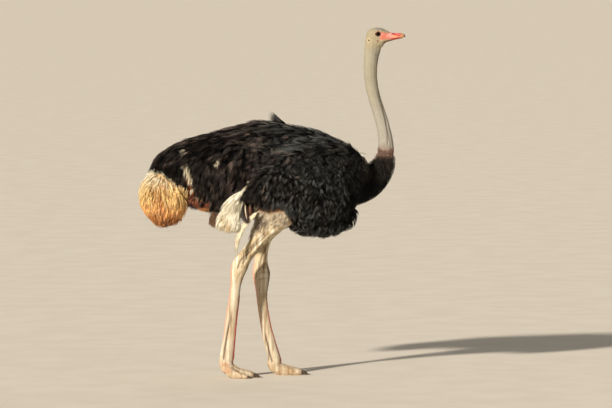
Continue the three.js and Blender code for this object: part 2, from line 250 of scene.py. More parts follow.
# %% [markdown]
# ## Helpers for meshes
# A copy of a solid starts each piece of flesh and horn. Its faces are loose triangles, so the
# copy's doubles are merged. The Remesh modifier then turns a pile of closed solids that touch
# into one even skin. Smoothing alone would shrink it, so each round smooths and then pushes back
# by the same factor, which removes the steps but keeps the thickness.


# %% Copies and remeshing
SMOOTH_STEPS = 6


def copy_of(*names):
    """The named solids in one bmesh, with their doubles merged."""
    bm = bmesh.new()
    for name in names:
        bm.from_mesh(nodes[name].data)
    bmesh.ops.remove_doubles(bm, verts=bm.verts, dist=1e-5)
    return bm


def one_skin(bm, voxel, rounds):
    """The bmesh as one even closed mesh, smoothed without shrinking."""
    lump = bpy.data.objects.new("lump", as_mesh(bm, "lump"))
    bpy.context.scene.collection.objects.link(lump)
    remesh = lump.modifiers.new("remesh", "REMESH")
    remesh.mode, remesh.voxel_size = "VOXEL", voxel
    for turn in range(rounds):
        for factor in (0.5, -0.5):
            smooth = lump.modifiers.new("smooth", "SMOOTH")
            smooth.factor, smooth.iterations = factor, SMOOTH_STEPS
    ready = lump.evaluated_get(bpy.context.evaluated_depsgraph_get())
    result = bpy.data.meshes.new_from_object(ready)
    bpy.data.objects.remove(lump)
    return result


# %% [markdown]
# Sculpting is done on arrays. A mesh's points are read, moved along their normals by some smooth
# amount, and put back. The amounts come from two functions: a soft step between two values, and
# the nearness to a line drawn on the bird's side. A finished mesh becomes a piece of the model.


# %% Points, soft steps and pieces
def points(mesh):
    """The mesh's points and their normals, as two arrays."""
    co = np.empty(len(mesh.vertices) * 3, np.float32)
    normal = np.empty_like(co)
    mesh.vertices.foreach_get("co", co)
    mesh.vertex_normals.foreach_get("vector", normal)
    return co.reshape(-1, 3).astype(float), normal.reshape(-1, 3).astype(float)


def put_points(mesh, co):
    mesh.vertices.foreach_set("co", co.astype(np.float32).ravel())
    mesh.update()


def piece(name, mesh, slot, *materials):
    """Puts a finished mesh in the scene as a piece that rides on the bird's one body."""
    mesh.name = name
    for material in materials:
        mesh.materials.append(material)
    mesh.polygons.foreach_set("use_smooth", np.ones(len(mesh.polygons), bool))
    obj = bpy.data.objects.new(name, mesh)
    bpy.context.scene.collection.objects.link(obj)
    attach(obj, "root")
    print(name, "faces", len(mesh.polygons))
    return obj


def step(value, low, high):
    """0 below low, 1 above high and smooth between; it falls where low is above high."""
    t = np.clip((value - low) / (high - low), 0, 1)
    return t * t * (3 - 2 * t)


def near_line(co, path, width):
    """1 on a path seen from the side, falling smoothly to 0 about twice the width away."""
    flat = co[:, (0, 2)]
    best = np.full(len(co), 9.0)
    for start, end in zip(path[:-1], path[1:]):
        start, end = np.array(start), np.array(end)
        way = end - start
        along = np.clip((flat - start) @ way / (way @ way), 0, 1)
        best = np.minimum(best, np.linalg.norm(flat - start - along[:, None] * way, axis=1))
    return np.exp(-(best / width) ** 2)


# %% [markdown]
# ## The body under the feathers
# The trunk, neck base and wings are one soft mass of plumage, so they become one shell. It lies
# inside the solids by the depth of the coat, which is shallow on the sleek back and deep on the
# breast and flanks. Drawing it in can fold the mesh, so it is remeshed once more.

# %% Body shell
BODY_VOXEL = 0.015
BODY_NODES = ["trunk", "neck_base", "wing_right", "wing_left"]
BACK_DEPTH, SIDE_DEPTH, NECK_DEPTH, RUMP_DEPTH = 0.016, 0.030, 0.012, 0.012


def past_chest(co):
    """Grows forward from the chest to the neck's base, along a front that leans forward."""
    return co[:, 0] - 0.25 * (co[:, 2] - 1.2)


def coat_depth(co, normal):
    """How far the tips of the plumes stand off the skin at each point."""
    back = step(normal[:, 2], 0.35, 0.85)
    neck = step(past_chest(co), 0.50, 0.60)
    rump = step(co[:, 0], -0.42, -0.56) * step(normal[:, 2], 0.4, 0.0)
    depth = SIDE_DEPTH + (BACK_DEPTH - SIDE_DEPTH) * back
    depth += (RUMP_DEPTH - depth) * rump
    return depth + (NECK_DEPTH - depth) * neck


body_mesh = one_skin(copy_of(*BODY_NODES), BODY_VOXEL, 3)
co, normal = points(body_mesh)
put_points(body_mesh, co - normal * coat_depth(co, normal)[:, None])
body_bm = bmesh.new()
body_bm.from_mesh(body_mesh)
body_mesh = one_skin(body_bm, BODY_VOXEL, 2)
print("body shell faces", len(body_mesh.polygons))

# %% [markdown]
# ## Head and neck
# Head, ears and neck are one shell at a much finer step, and the head's faces are cut once more.
# The shell runs on inside the bill, so that the skin of the face passes under the horn without a
# step.

# %% Neck shell
NECK_NODES = ["head", "ear_right", "ear_left", "eye_right", "eye_left", "bill_upper",
              "bill_lower", "neck_upper", "neck_middle", "neck_lower"]
NECK_VOXEL = 0.0031
HEAD_LOW, BILL_START = 1.965, 0.715

neck_mesh = one_skin(copy_of(*NECK_NODES), NECK_VOXEL, 4)
neck_bm = bmesh.new()
neck_bm.from_mesh(neck_mesh)
head_edges = [e for e in neck_bm.edges
              if all(v.co.z > HEAD_LOW and v.co.x < BILL_START for v in e.verts)]
bmesh.ops.subdivide_edges(neck_bm, edges=head_edges, cuts=1, use_grid_fill=True, smooth=0.6)
neck_bm.to_mesh(neck_mesh)
neck_bm.free()
print("head and neck faces", len(neck_mesh.polygons))

# %% [markdown]
# The eyes look out sideways and a little forward. Angles seen from an eyeball's centre measure
# the opening between its lids, an almond that is wider than it is high. The same measure serves
# the socket, the lids and the down, which keeps clear of the eye.

# %% Eyes' places
EYE_RADIUS = 0.0243
EYE_AXIS = Vector((0.24, 1.0, 0.06)).normalized()
EYE_CENTRE = Vector((0.630, 0.018, 2.055))
LID_HALF_WIDTH, LID_HALF_HEIGHT = math.radians(45), math.radians(33)


def eye_frame(side):
    """The eye's centre, the way it looks, and its forward and upward directions."""
    mirror = Vector((1, side, 1))
    look = EYE_AXIS * mirror
    ahead = Vector((1, 0, 0))
    ahead = (ahead - look * ahead.dot(look)).normalized()
    above = look.cross(ahead) * (1 if look.cross(ahead).z > 0 else -1)
    return EYE_CENTRE * mirror, look, ahead, above


def almond(angle):
    """Half opening of the lids, as shares of their width and height, round the eye."""
    c, s = np.cos(angle), np.sin(angle)
    return c, s * (1 - 0.30 * c * c) * np.where(s > 0, 1.0, 0.86)


def lid_share(co, side):
    """0 at the middle of the eye, 1 on the edge of the lids, and more outside them."""
    centre, look, ahead, above = (np.array(v) for v in eye_frame(side))
    away = co - centre
    distance = np.linalg.norm(away, axis=1)
    unit = away / distance[:, None]
    facing = unit @ look
    wide = np.arctan2(unit @ ahead, facing) / LID_HALF_WIDTH
    tall = np.arctan2(unit @ above, facing) / LID_HALF_HEIGHT
    angle = np.arctan2(tall, wide)
    edge = np.hypot(*almond(angle))
    return np.where(facing > 0, np.hypot(wide, tall) / edge, 9.0), unit, distance, centre

# %% [markdown]
# The moves on the head are a sculptor's. Strokes raise or cut the skin along lines: the mouth, the
# brow, the ridge under the nostril, the edge of the jaw and three folds below it. Then come the
# ear hole with its rim, the throat and crown, and the sockets that the eyeballs fill.

# %% Sculpt the head
STROKES = [  # height, width, and the line as (x, z) points
    (-0.0016, 0.0018, [(0.636, 2.012), (0.660, 2.018), (0.700, 2.0265)]),
    (0.0022, 0.0050, [(0.604, 2.071), (0.622, 2.079), (0.645, 2.078), (0.668, 2.066)]),
    (0.0012, 0.0060, [(0.650, 2.030), (0.700, 2.037)]),
    (0.0010, 0.0040, [(0.640, 2.004), (0.690, 2.017)]),
    (-0.0013, 0.0017, [(0.640, 2.000), (0.618, 1.990), (0.604, 1.975)]),
    (-0.0013, 0.0017, [(0.660, 1.996), (0.640, 1.984), (0.622, 1.968)]),
    (-0.0013, 0.0017, [(0.652, 2.008), (0.640, 2.006), (0.632, 1.998)])]
EAR_PLACE, EAR_RIM = (0.581, 2.019), 0.0080
CROWN_PLACE, CROWN_REACH = (0.628, 2.090), 0.034
SOCKET_REACH = 2.2

co, normal = points(neck_mesh)
sideways = np.abs(normal[:, 1])[:, None]
lift = sum(height * near_line(co, path, width) for height, width, path in STROKES)
ear_gap = np.hypot(co[:, 0] - EAR_PLACE[0], co[:, 2] - EAR_PLACE[1])
lift += 0.0012 * np.exp(-((ear_gap - EAR_RIM) / 0.0030) ** 2)
lift -= 0.0060 * np.exp(-(ear_gap / 0.0036) ** 4)
co += normal * lift[:, None] * sideways
throat = np.exp(-((co[:, 2] - 1.962) / 0.030) ** 2) * step(normal[:, 0], 0.2, 0.9)
co[:, 0] += 0.006 * throat
from_crown = (co[:, 0] - CROWN_PLACE[0]) ** 2 + (co[:, 2] - CROWN_PLACE[1]) ** 2
crown = np.exp(-(from_crown / CROWN_REACH ** 2) ** 1.5)
co[:, 2] += 0.0035 * crown * step(normal[:, 2], 0.2, 0.9)
co -= normal * (0.0013 * step(co[:, 0], 0.694, 0.708))[:, None]

for side in SIDES.values():
    share, unit, distance, centre = lid_share(co, side)
    plump = EYE_RADIUS + 0.0008 + 0.0016 * np.exp(-((share - 1.18) / 0.16) ** 2)
    covered = (share >= 1) & (share < SOCKET_REACH)
    outer = np.maximum(distance, plump)
    blend = step(share, SOCKET_REACH, 1.3)
    distance = np.where(covered, distance + (outer - distance) * blend, distance)
    distance = np.where(share < 1, EYE_RADIUS * 0.80, distance)
    co = centre + unit * distance[:, None]

# %% [markdown]
# The spine side of the neck is round and firm. On its lower half the windpipe stands out along
# the front, with a groove behind it. Faint rings cross the skin where the neck bends. Below the
# collar the shell is drawn in and down, like a sleeve inside the black plumes.

# %% Sculpt the neck
NECK_GROOVE = [(0.640, 1.700), (0.663, 1.626), (0.684, 1.548), (0.697, 1.458), (0.698, 1.40)]
WINDPIPE = [(0.656, 1.700), (0.682, 1.626), (0.706, 1.548), (0.721, 1.458), (0.722, 1.38)]
COLLAR_Z, SLEEVE, SLEEVE_TAPER = 1.357, 0.11, 0.30
NECK_AXIS_X = 0.688
put_points(neck_mesh, co)
co, normal = points(neck_mesh)
below_head = step(co[:, 2], 1.96, 1.90)
lift = -0.0055 * near_line(co, NECK_GROOVE, 0.0060) + 0.0025 * near_line(co, WINDPIPE, 0.008)
rings = np.array([noise.noise(Vector((x * 12, y * 12, z * 55))) for x, y, z in co])
co += normal * (lift * below_head * np.abs(normal[:, 1]) + 0.0007 * rings * below_head)[:, None]
hidden = step(co[:, 2], COLLAR_Z + 0.014, COLLAR_Z + 0.001)
taper = 1 - SLEEVE_TAPER * hidden
co[:, 0] = NECK_AXIS_X + (co[:, 0] - NECK_AXIS_X) * taper - 0.02 * hidden
co[:, 1] *= taper
co[:, 2] -= SLEEVE * hidden
put_points(neck_mesh, co)

# %% [markdown]
# ## Legs
# The legs are bare and carry no coat below the thigh, so their shell follows the solids exactly.
# Lines are pressed into it: creases at the bend of each hock, folds along the shank, and a groove
# that parts the bone of the lower leg from the tendon behind it. The same lines are shaded later.
# The tops of the thighs are drawn up into the body, where the wings hide them.

# %% Leg shell
LEG_VOXEL = 0.0056
LEG_PARTS = ["thigh", "shank", "tarsus", "toe_third", "toe_fourth"]
THIGH_TOP, THIGH_REACH = 0.94, 0.075
SKIN_GAIN, SOLE_GAP = 0.0004, 0.0004
LEG_LINES = {
    "right": {"tendon": [[(-0.236, 0.420), (-0.262, 0.290), (-0.284, 0.170), (-0.288, 0.115)]],
              "hock": [[(-0.183, 0.640), (-0.200, 0.610), (-0.214, 0.575)],
                       [(-0.130, 0.662), (-0.152, 0.632), (-0.160, 0.590)],
                       [(-0.214, 0.660), (-0.190, 0.668), (-0.160, 0.664)]],
              "shank": [[(-0.022, 0.872), (-0.122, 0.772), (-0.188, 0.706), (-0.205, 0.659)],
                        [(-0.010, 0.838), (-0.080, 0.772), (-0.122, 0.716), (-0.150, 0.640)],
                        [(-0.050, 0.868), (-0.110, 0.800), (-0.160, 0.756)],
                        [(-0.086, 0.812), (-0.150, 0.738), (-0.172, 0.690)]]},
    "left": {"tendon": [[(-0.060, 0.330), (-0.034, 0.215), (-0.012, 0.120), (0.000, 0.085)]],
             "hock": [[(-0.090, 0.610), (-0.060, 0.625), (-0.025, 0.622)],
                      [(-0.082, 0.575), (-0.050, 0.588), (-0.010, 0.585)]],
             "shank": [[(0.006, 0.830), (-0.030, 0.740), (-0.052, 0.650)],
                       [(-0.024, 0.800), (-0.060, 0.720), (-0.080, 0.640)],
                       [(0.000, 0.760), (-0.014, 0.690), (-0.020, 0.640)]]}}
LINE_DEPTHS = {"tendon": (0.0065, 0.0070), "hock": (0.0022, 0.0055), "shank": (0.0055, 0.0075)}
GROOVE_TOPS, GROOVE_FADE = {"right": 0.42, "left": 0.33}, 0.13


def leg_lines(co, kinds):
    """For each line on the legs: its strength from the given kinds, times the nearness to it."""
    for side, sign in SIDES.items():
        here = co[:, 1] * sign > 0
        top = GROOVE_TOPS[side]
        fade = {"tendon": step(co[:, 2], top, top - GROOVE_FADE)}
        for kind, (strength, width) in kinds.items():
            for path in LEG_LINES[side][kind]:
                yield here * strength * (near_line(co, path, width) * fade.get(kind, 1.0))


leg_mesh = one_skin(copy_of(*[f"{part}_{side}" for side in SIDES for part in LEG_PARTS]),
                    LEG_VOXEL, 4)
co, normal = points(leg_mesh)
press = sum(leg_lines(co, LINE_DEPTHS))
co += normal * (SKIN_GAIN - press * np.abs(normal[:, 1]))[:, None]
co[:, 2] += THIGH_REACH * step(co[:, 2], THIGH_TOP, 1.01)
co[:, 2] = np.maximum(co[:, 2], SOLE_GAP)
put_points(leg_mesh, co)
print("leg faces", len(leg_mesh.polygons))

# %% [markdown]
# ## Cores for the tail and the wing plumes
# The white plumes hang in heavy bunches, so deep that nothing shows between them. Each bunch gets
# a core of its own solid, drawn in by the depth of its plumes, which joins the skin as a shell.

# %% Tail and plume cores
TAIL_DEPTH, PLUME_DEPTH = 0.026, 0.020
TAIL_MIDDLE = Vector((-0.655, 0.0, 1.08))
TAIL_LOCKS = 44


def lock_turn(co):
    """How far round the tail a point lies, counted in hanging locks, which wave as they fall."""
    around = np.arctan2(co[:, 1] - TAIL_MIDDLE.y, co[:, 0] - TAIL_MIDDLE.x)
    wave = 0.10 * np.sin(co[:, 2] * 38 + 2 * around) + 0.05 * np.sin(co[:, 2] * 90 + 5 * around)
    return (around + wave) * TAIL_LOCKS / (2 * np.pi)


def from_lock(turn, number):
    """The offset from the middle of a lock, in locks, the short way round the tail."""
    off = turn - number
    return off - TAIL_LOCKS * np.round(off / TAIL_LOCKS)


def core(name, depth, voxel=0.012):
    """A solid drawn in by the depth of its plumes, but less where it meets the body."""
    mesh = one_skin(copy_of(name), voxel, 2)
    co, normal = points(mesh)
    joined = step(co[:, 0], -0.62, -0.56) if name == "tail" else step(co[:, 2], 1.03, 1.12)
    put_points(mesh, co - normal * (depth * (1 - 0.75 * joined))[:, None])
    return mesh


tail_core = core("tail", TAIL_DEPTH)
plume_cores = {side: core(f"wing_plumes_{side}", PLUME_DEPTH, 0.009) for side in SIDES}
co, normal = points(tail_core)
turn = lock_turn(co)
ridge = np.cos(2 * np.pi * (turn - np.round(turn))) * 0.003
put_points(tail_core, co + normal * ridge[:, None])
print("tail core faces", len(tail_core.polygons))

# %% [markdown]
# ## Markings
# Black plumage covers the body, but on each side of the rump a white patch shows, with a rusty
# strip below it and a second, narrower white streak. A few small white specks lie higher up, and
# white also edges the wing above its plumes. One function gives these marks at any point, so that
# the skin and the roots of the plumes above it always agree. Small black knots interrupt them.

# %% Marks of the plumage
WHITE_MARKS = [  # each a line of (x, z) points, and how far the mark reaches from it
               ([(-0.509, 1.270), (-0.497, 1.234), (-0.478, 1.198)], 0.025),
               ([(-0.474, 1.148), (-0.446, 1.114), (-0.414, 1.064)], 0.014),
               ([(-0.312, 1.318), (-0.330, 1.284)], 0.0095),
               ([(-0.508, 1.368), (-0.492, 1.348)], 0.008),
               ([(-0.116, 1.206), (-0.138, 1.156), (-0.190, 1.132)], 0.008),
               ([(-0.086, 1.040), (-0.088, 0.990), (-0.098, 0.950)], 0.023),
               ([(0.020, 0.990), (0.060, 1.004), (0.096, 0.992)], 0.017)]
RUST_MARKS = [([(-0.506, 1.210), (-0.486, 1.150), (-0.472, 1.095), (-0.452, 1.050)], 0.017),
              ([(-0.450, 1.040), (-0.415, 1.022), (-0.365, 1.008)], 0.018),
              ([(-0.135, 1.030), (-0.130, 0.985), (-0.125, 0.950)], 0.013)]
BLACK_KNOTS = [[(-0.500, 1.058), (-0.492, 1.040)], [(-0.474, 1.034), (-0.464, 1.016)],
               [(-0.424, 1.066), (-0.420, 1.036)]]


def knots(co):
    """1 in the black knots that lie across the white and rust, 0 elsewhere."""
    return np.max([near_line(co, path, 0.014) for path in BLACK_KNOTS], axis=0)


def marks(co):
    """White and rust at each point of the body, from 0 to 1."""
    rough = np.array([noise.noise(Vector(p) * 22) for p in co]) * 0.35
    white, rust = (np.max([near_line(co, path, width) for path, width in paths], axis=0)
                   for paths in (WHITE_MARKS, RUST_MARKS))
    bare_of_knots = 1 - step(knots(co), 0.35, 0.55)
    return (step(white + rough, 0.42, 0.60) * bare_of_knots,
            step(rust + rough, 0.42, 0.62) * bare_of_knots)


def carry(mesh, **fields):
    """Writes numbers at the mesh's points, for its materials to read."""
    for name, values in fields.items():
        layer = mesh.attributes.new(name, "FLOAT", "POINT")
        layer.data.foreach_set("value", np.asarray(values, np.float32))


BLACK, SOOT = paint(6, 6, 6), paint(50, 43, 38)
RUST = paint(176, 92, 44)


# %% [markdown]
# ## Skin finishes
# Under the black plumes the skin is sooty, and it carries the white and rust marks. The cores of
# the tail and of the white plumes have the colours of the shade between plumes.


# %% Skin under the plumes
def under_plumes(w):
    base = w.noise(30).mix(paint(4, 4, 4), paint(12, 11, 10))
    base = w.field("rust").mix(base, RUST)
    return {"Base Color": w.field("white").mix(base, paint(205, 190, 160)),
            "Normal": w.bump(w.noise(90, 4, (1, 1, 0.3)), 4)}


def plume_shade(w):
    z = w.place().axes()[2]
    colour = z.ramp(0.98, 1.16).mix(paint(150, 88, 44), paint(214, 176, 122))
    return {"Base Color": colour, "Normal": w.bump(w.noise(80, 4, (1, 1, 0.2)), 4)}


def white_shade(w):
    x, y, z = w.place().axes()
    colour = w.noise(30, 3).mix(paint(196, 176, 140), paint(224, 208, 176))
    # Painted shade: the core of the far wing's plumes is painted browner.
    far_plume_shade = y.ramp(0.0, 0.1) * x.ramp(-0.31, -0.35) * 0.75
    return {"Base Color": far_plume_shade.mix(colour, paint(186, 142, 118))}


# %% [markdown]
# Head, neck and bill share one field of colour, so that skin and horn agree where they meet. It
# is built up like a painting: the greyish cream of the neck with the browner collar, painted shade
# along the neck's front edge and in its groove, the grey of the crown, painted shade on the jaw,
# then the coral pink from the eye forward with painted highlights, and last the marks of the bill.
# Each mask is drawn from the line of the gape, along which `run` counts, and `over` is the height
# above it.

# %% Face, head and neck
GAPE_START, GAPE_Z = 0.645, 2.015


def face(w):
    """Colour of neck, head and bill, how bare the skin is, and the height over the gape."""
    x, y, z = w.place().axes()
    rough = w.noise(90, 3) - 0.5
    neck = (x + z * 0.42).ramp(1.400, 1.448) * z.ramp(1.99, 1.93)
    colour = w.noise(14, 4).mix(paint(168, 160, 138), paint(146, 140, 122))
    colour = z.ramp(1.78, 1.50).mix(colour, paint(162, 156, 144))
    # Painted shade: a darker band along the neck's front edge.
    colour = (neck * 0.6).mix(colour, paint(122, 118, 112))
    # Painted shade: a dark line along the groove behind the windpipe.
    groove = (z - 1.700 + (x - 0.640) * 4.1).ramp(0.020, -0.020) * z.ramp(1.36, 1.42)
    line = (x - 0.6985 + (z - 1.44) * 0.225 + (z - 1.44) ** 2.0 * -0.02).size()
    colour = (groove * line.ramp(0.0060, 0.0020) * 0.6).mix(colour, paint(96, 84, 80))
    skull = w.noise(40, 4).mix(paint(172, 158, 130), paint(150, 138, 112))
    colour = z.ramp(1.94, 2.00).mix(colour, skull)
    crown = z.ramp(2.072, 2.086) * (x + rough * 0.03).ramp(0.600, 0.640) * x.ramp(0.705, 0.680)
    colour = (crown * 0.75).mix(colour, paint(136, 134, 130))
    collar = (z + w.noise(24, 4, (1, 1, 0.2)) * 0.10).ramp(1.46, 1.40)
    colour = (collar * 0.75).mix(colour, paint(132, 108, 94))
    colour = (w.noise(360, 3, (1, 1, 0.4)).ramp(0.50, 0.72) * 0.40).mix(colour, paint(112, 100, 80))

    run = x - GAPE_START
    over = z - GAPE_Z - run * 0.245 + run * run * 0.55
    cream = x.ramp(0.640, 0.652) * x.ramp(0.712, 0.700) * over.ramp(-0.003, 0.000)
    cream = cream * over.ramp(0.014, 0.006)
    colour = (cream * 0.8).mix(colour, paint(214, 190, 152))
    # Painted shade: the lower jaw is painted dark brown.
    under_jaw_shade = (x + rough * 0.01).ramp(0.664, 0.680) * over.ramp(-0.003, -0.006) * z.ramp(1.990, 1.998)
    colour = (under_jaw_shade * 0.85).mix(colour, paint(118, 76, 54))
    brow = (z - 2.0735 + (x - 0.64) * 0.10 + rough * 0.004).size().ramp(0.0030, 0.0008)
    brow = brow * x.ramp(0.614, 0.632) * x.ramp(0.668, 0.648)
    colour = (brow * 0.55).mix(colour, paint(214, 132, 92))

    soft = w.noise(45, 3, (0.6, 1, 1)).ramp(0.35, 0.65)
    # Painted highlights: light streaks of pink over the bare skin, and a pale band where the bill
    # begins.
    highlight_streak = w.noise(120, 3, (0.22, 1, 1)).ramp(0.50, 0.68)
    pink = soft.mix(paint(212, 124, 102), paint(190, 92, 82))
    pale = (x - (z - 2.048).size() * 0.9 + rough * 0.02).ramp(0.676, 0.700) * x.ramp(0.735, 0.715)
    pink = (pale * (0.45 + highlight_streak * 0.45)).mix(pink, paint(226, 164, 154))
    pink = (highlight_streak * 0.6).mix(pink, paint(234, 176, 156))
    fine = w.noise(260, 2) - 0.5
    ahead = (x - (z - 2.04) * 0.23 + rough * 0.010 + fine * 0.008).ramp(0.641, 0.650)
    below_brow = (z + (x - 0.652) * 0.17 + rough * 0.008 + fine * 0.004).ramp(2.073, 2.066)
    above = (z - 2.0205 - (x - 0.643) * 0.08 + rough * 0.004 + fine * 0.003).ramp(0.0, 0.004)
    bare = ahead * above * below_brow.math("MAXIMUM", below_brow, x.ramp(0.686, 0.708))
    bare = bare.math("MAXIMUM", bare, x.ramp(0.700, 0.710) * over.ramp(-0.006, -0.004))
    bare = bare * z.ramp(1.985, 1.995)
    colour = bare.mix(colour, pink)

    edge = over.ramp(-0.0050, -0.0035) * over.ramp(0.0030, 0.0008) * x.ramp(0.704, 0.716)
    colour = (edge * x.ramp(0.776, 0.762)).mix(colour, paint(196, 40, 40))
    fall = z - 2.0550 + (x - 0.7395) * 0.30
    slot = fall.size().ramp(0.0052, 0.0020) * x.ramp(0.714, 0.722) * x.ramp(0.766, 0.754)
    colour = slot.mix(colour, x.ramp(0.728, 0.742).mix(paint(150, 36, 58), paint(206, 48, 60)))
    blush = fall.ramp(0.001, 0.005) * x.ramp(0.738, 0.752) * x.ramp(0.768, 0.760)
    colour = (blush * 0.6).mix(colour, paint(232, 128, 120))
    tan_band = fall.ramp(-0.004, -0.009) * over.ramp(0.002, 0.005) * x.ramp(0.716, 0.728)
    colour = (tan_band * 0.8).mix(colour, paint(220, 158, 118))
    tip = (x - (z - 2.045) * 0.25 + rough * 0.006).ramp(0.762, 0.776) * z.ramp(1.985, 1.995)
    colour = tip.mix(colour, rough.ramp(-0.1, 0.2).mix(paint(204, 156, 112), paint(178, 122, 80)))
    nail = (x + rough * 0.004).ramp(0.784, 0.797) * z.ramp(1.985, 1.995)
    colour = nail.mix(colour, paint(120, 76, 46))
    return colour, bare, over


def head_and_neck(w):
    x, y, z = w.place().axes()
    colour, bare, over = face(w)
    blotch = w.noise(300, 3).ramp(0.35, 0.60)
    corner = ((x - 0.632) ** 2.0 + (z - 2.0165) ** 2.0).ramp(0.0080 ** 2, 0.0030 ** 2)
    colour = (corner * (0.4 + blotch * 0.6)).mix(colour, paint(124, 70, 50))
    # Painted shade along the crease of the mouth.
    mouth_crease_shade = over.size().ramp(0.0016, 0.0006) * x.ramp(0.632, 0.640) * x.ramp(0.712, 0.700)
    colour = (mouth_crease_shade * 0.55).mix(colour, paint(140, 84, 60))
    away = (x - EAR_PLACE[0]) ** 2.0 + (z - EAR_PLACE[1]) ** 2.0
    colour = (away.ramp(0.0190 ** 2, 0.0060 ** 2) * 0.45).mix(colour, paint(200, 178, 142))
    # Painted shade in the ear hole.
    colour = (away.ramp(0.0046 ** 2, 0.0020 ** 2) * 0.9).mix(colour, paint(70, 56, 34))
    grain = w.noise(520, 3, (1, 1, 0.4)) + w.noise(170, 3, (1, 1, 0.5)) * 0.8
    return {"Base Color": colour, "Roughness": 0.80 - bare * 0.30, "Normal": w.bump(grain, 0.5)}


# %% [markdown]
# The legs are cream with a net of small scales, pink behind the hock and red along the front,
# where the plates lie; higher up the front is painted dark brown as shade, and so is the top of
# the thigh's front. Long streaks run down them, their folds are painted dark as shade, and dust
# clings to the feet.


# %% Skin of the legs
def leg_skin(w):
    x, y, z = w.place().axes()
    lower = z.ramp(0.72, 0.55)
    long_streak = w.noise(55, 4, (1, 1, 0.07))
    broad = w.noise(9, 4).ramp(0.35, 0.65)
    upper = broad.mix(paint(202, 184, 148), paint(180, 158, 120))
    colour = lower.mix(upper, broad.mix(paint(222, 206, 178), paint(204, 182, 148)))
    colour = long_streak.ramp(0.52, 0.66).mix(colour, paint(238, 228, 204))
    colour = (long_streak.ramp(0.46, 0.34) * 0.75).mix(colour, paint(140, 108, 72))
    # Painted shade: dark in the long folds of the shank.
    fold_shade = w.noise(70, 3, (1, 1, 0.10)).ramp(0.60, 0.68) * z.ramp(0.60, 0.68) * z.ramp(0.92, 0.86)
    colour = (fold_shade * 0.8).mix(colour, paint(92, 64, 44))
    shaded = x.ramp(0.085, 0.112) * z.ramp(0.925, 0.955)
    colour = (shaded * 0.8).mix(colour, paint(120, 78, 68))
    colour = (w.field("rear") * 0.8).mix(colour, paint(238, 150, 124))
    # The front is red low down, and painted dark brown above as shade.
    front_red_and_shade = z.ramp(0.40, 0.52).mix(paint(170, 44, 44), paint(64, 34, 28))
    colour = (w.field("front") * z.ramp(0.72, 0.62)).mix(colour, front_red_and_shade)
    colour = w.field("crease").mix(colour, paint(66, 44, 34))
    spot = ((x + 0.276) ** 2.0 + (z - 0.060) ** 2.0).ramp(0.040 ** 2, 0.018 ** 2)
    colour = (spot * w.noise(60, 3).ramp(0.35, 0.6) * 0.7).mix(colour, paint(190, 112, 60))
    scales = w.cells(150, (1, 1, 0.8))
    colour = (scales.ramp(0.05, 0.0) * 0.4 * lower).mix(colour, paint(120, 92, 66))
    dust = z.ramp(0.14, 0.02) * w.noise(40).ramp(0.35, 0.65)
    colour = (dust * 0.6).mix(colour, paint(180, 142, 102))
    relief = scales.ramp(0.0, 0.16) * lower * 0.6 + long_streak
    relief = relief + w.noise(110, 4, (1, 1, 0.25)) * (1 - lower)
    return {"Base Color": colour, "Roughness": 0.72 - 0.10 * scales.ramp(0.0, 0.2),
            "Normal": w.bump(relief, 2.2)}


SKIN_FINISHES = [finish("skin_under_plumes", under_plumes, Roughness=0.8),
                 finish("skin_head_neck", head_and_neck),
                 finish("skin_legs", leg_skin),
                 finish("tail_shade", plume_shade, Roughness=0.8),
                 finish("white_plume_shade", white_shade, Roughness=0.8)]

# %% [markdown]
# The legs' own marks are numbers at their points: where the red front and the pink rear edge lie,
# and the shade in the lines that were pressed into them.

# %% Marks carried by the legs
LINE_SHADES = {"tendon": (1.0, 0.0052), "hock": (0.30, 0.0036), "shank": (0.75, 0.0050)}


def front_and_rear(co, normal):
    front = step(normal[:, 0], 0.72, 0.92)
    rear = step(-normal[:, 0], 0.45, 0.85) * step(co[:, 2], 0.18, 0.30) * step(co[:, 2], 0.74, 0.66)
    crease = np.max(list(leg_lines(co, LINE_SHADES)), axis=0) * np.abs(normal[:, 1])
    return {"front": front, "rear": rear, "crease": crease}

# %% [markdown]
# All shells become one piece, the skin, which stands for every solid of flesh. Each shell keeps a
# finish of its own by its place in the list.


# %% Join the shells into one skin
def join_shells(shells):
    """One mesh from several, with each shell's place in the list as its material."""
    bm = bmesh.new()
    for index, mesh in enumerate(shells):
        first = len(bm.faces)
        bm.from_mesh(mesh)
        bm.faces.ensure_lookup_table()
        for face in bm.faces[first:]:
            face.material_index = index
    return as_mesh(bm, "skin")


co, normal = points(body_mesh)
white, rust = marks(co)
carry(body_mesh, white=white, rust=rust)
carry(leg_mesh, **front_and_rear(*points(leg_mesh)))
white_core = join_shells(list(plume_cores.values()))
white_core.polygons.foreach_set("material_index", np.zeros(len(white_core.polygons), np.int32))
skin = piece("skin", join_shells([body_mesh, neck_mesh, leg_mesh, tail_core, white_core]),
             "skin", *SKIN_FINISHES)
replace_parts(skin, *BODY_NODES, "head", "ear_right", "ear_left", "neck_upper", "neck_middle",
            "neck_lower", *[f"{part}_{side}" for side in SIDES for part in LEG_PARTS])

# %% [markdown]
# ## Eyes and lids
# The eye is a glossy ball, near black with a dark brown iris, and its clear front bulges a
# little. The lids are a ring of small round section, spun as a full turn and then laid on the
# ball along the edge of the almond opening. A row of stiff lashes grows from the upper lid.


# %% Eyeballs
def eye_gloss(w):
    """Rings of colour round the way the eye looks, the same on both sides of the head."""
    x, y, z = w.place().axes()
    depth = (x - EYE_CENTRE.x) * EYE_AXIS.x + (y.size() - EYE_CENTRE.y) * EYE_AXIS.y \
        + (z - EYE_CENTRE.z) * EYE_AXIS.z
    streaks = w.noise(420, 3)
    iris = streaks.mix(paint(116, 56, 32), paint(66, 32, 20))
    colour = (depth / EYE_RADIUS).ramp(0.90, 0.93).mix(iris, paint(4, 4, 5))
    return {"Base Color": (depth / EYE_RADIUS).ramp(0.70, 0.62).mix(colour, paint(30, 16, 12))}


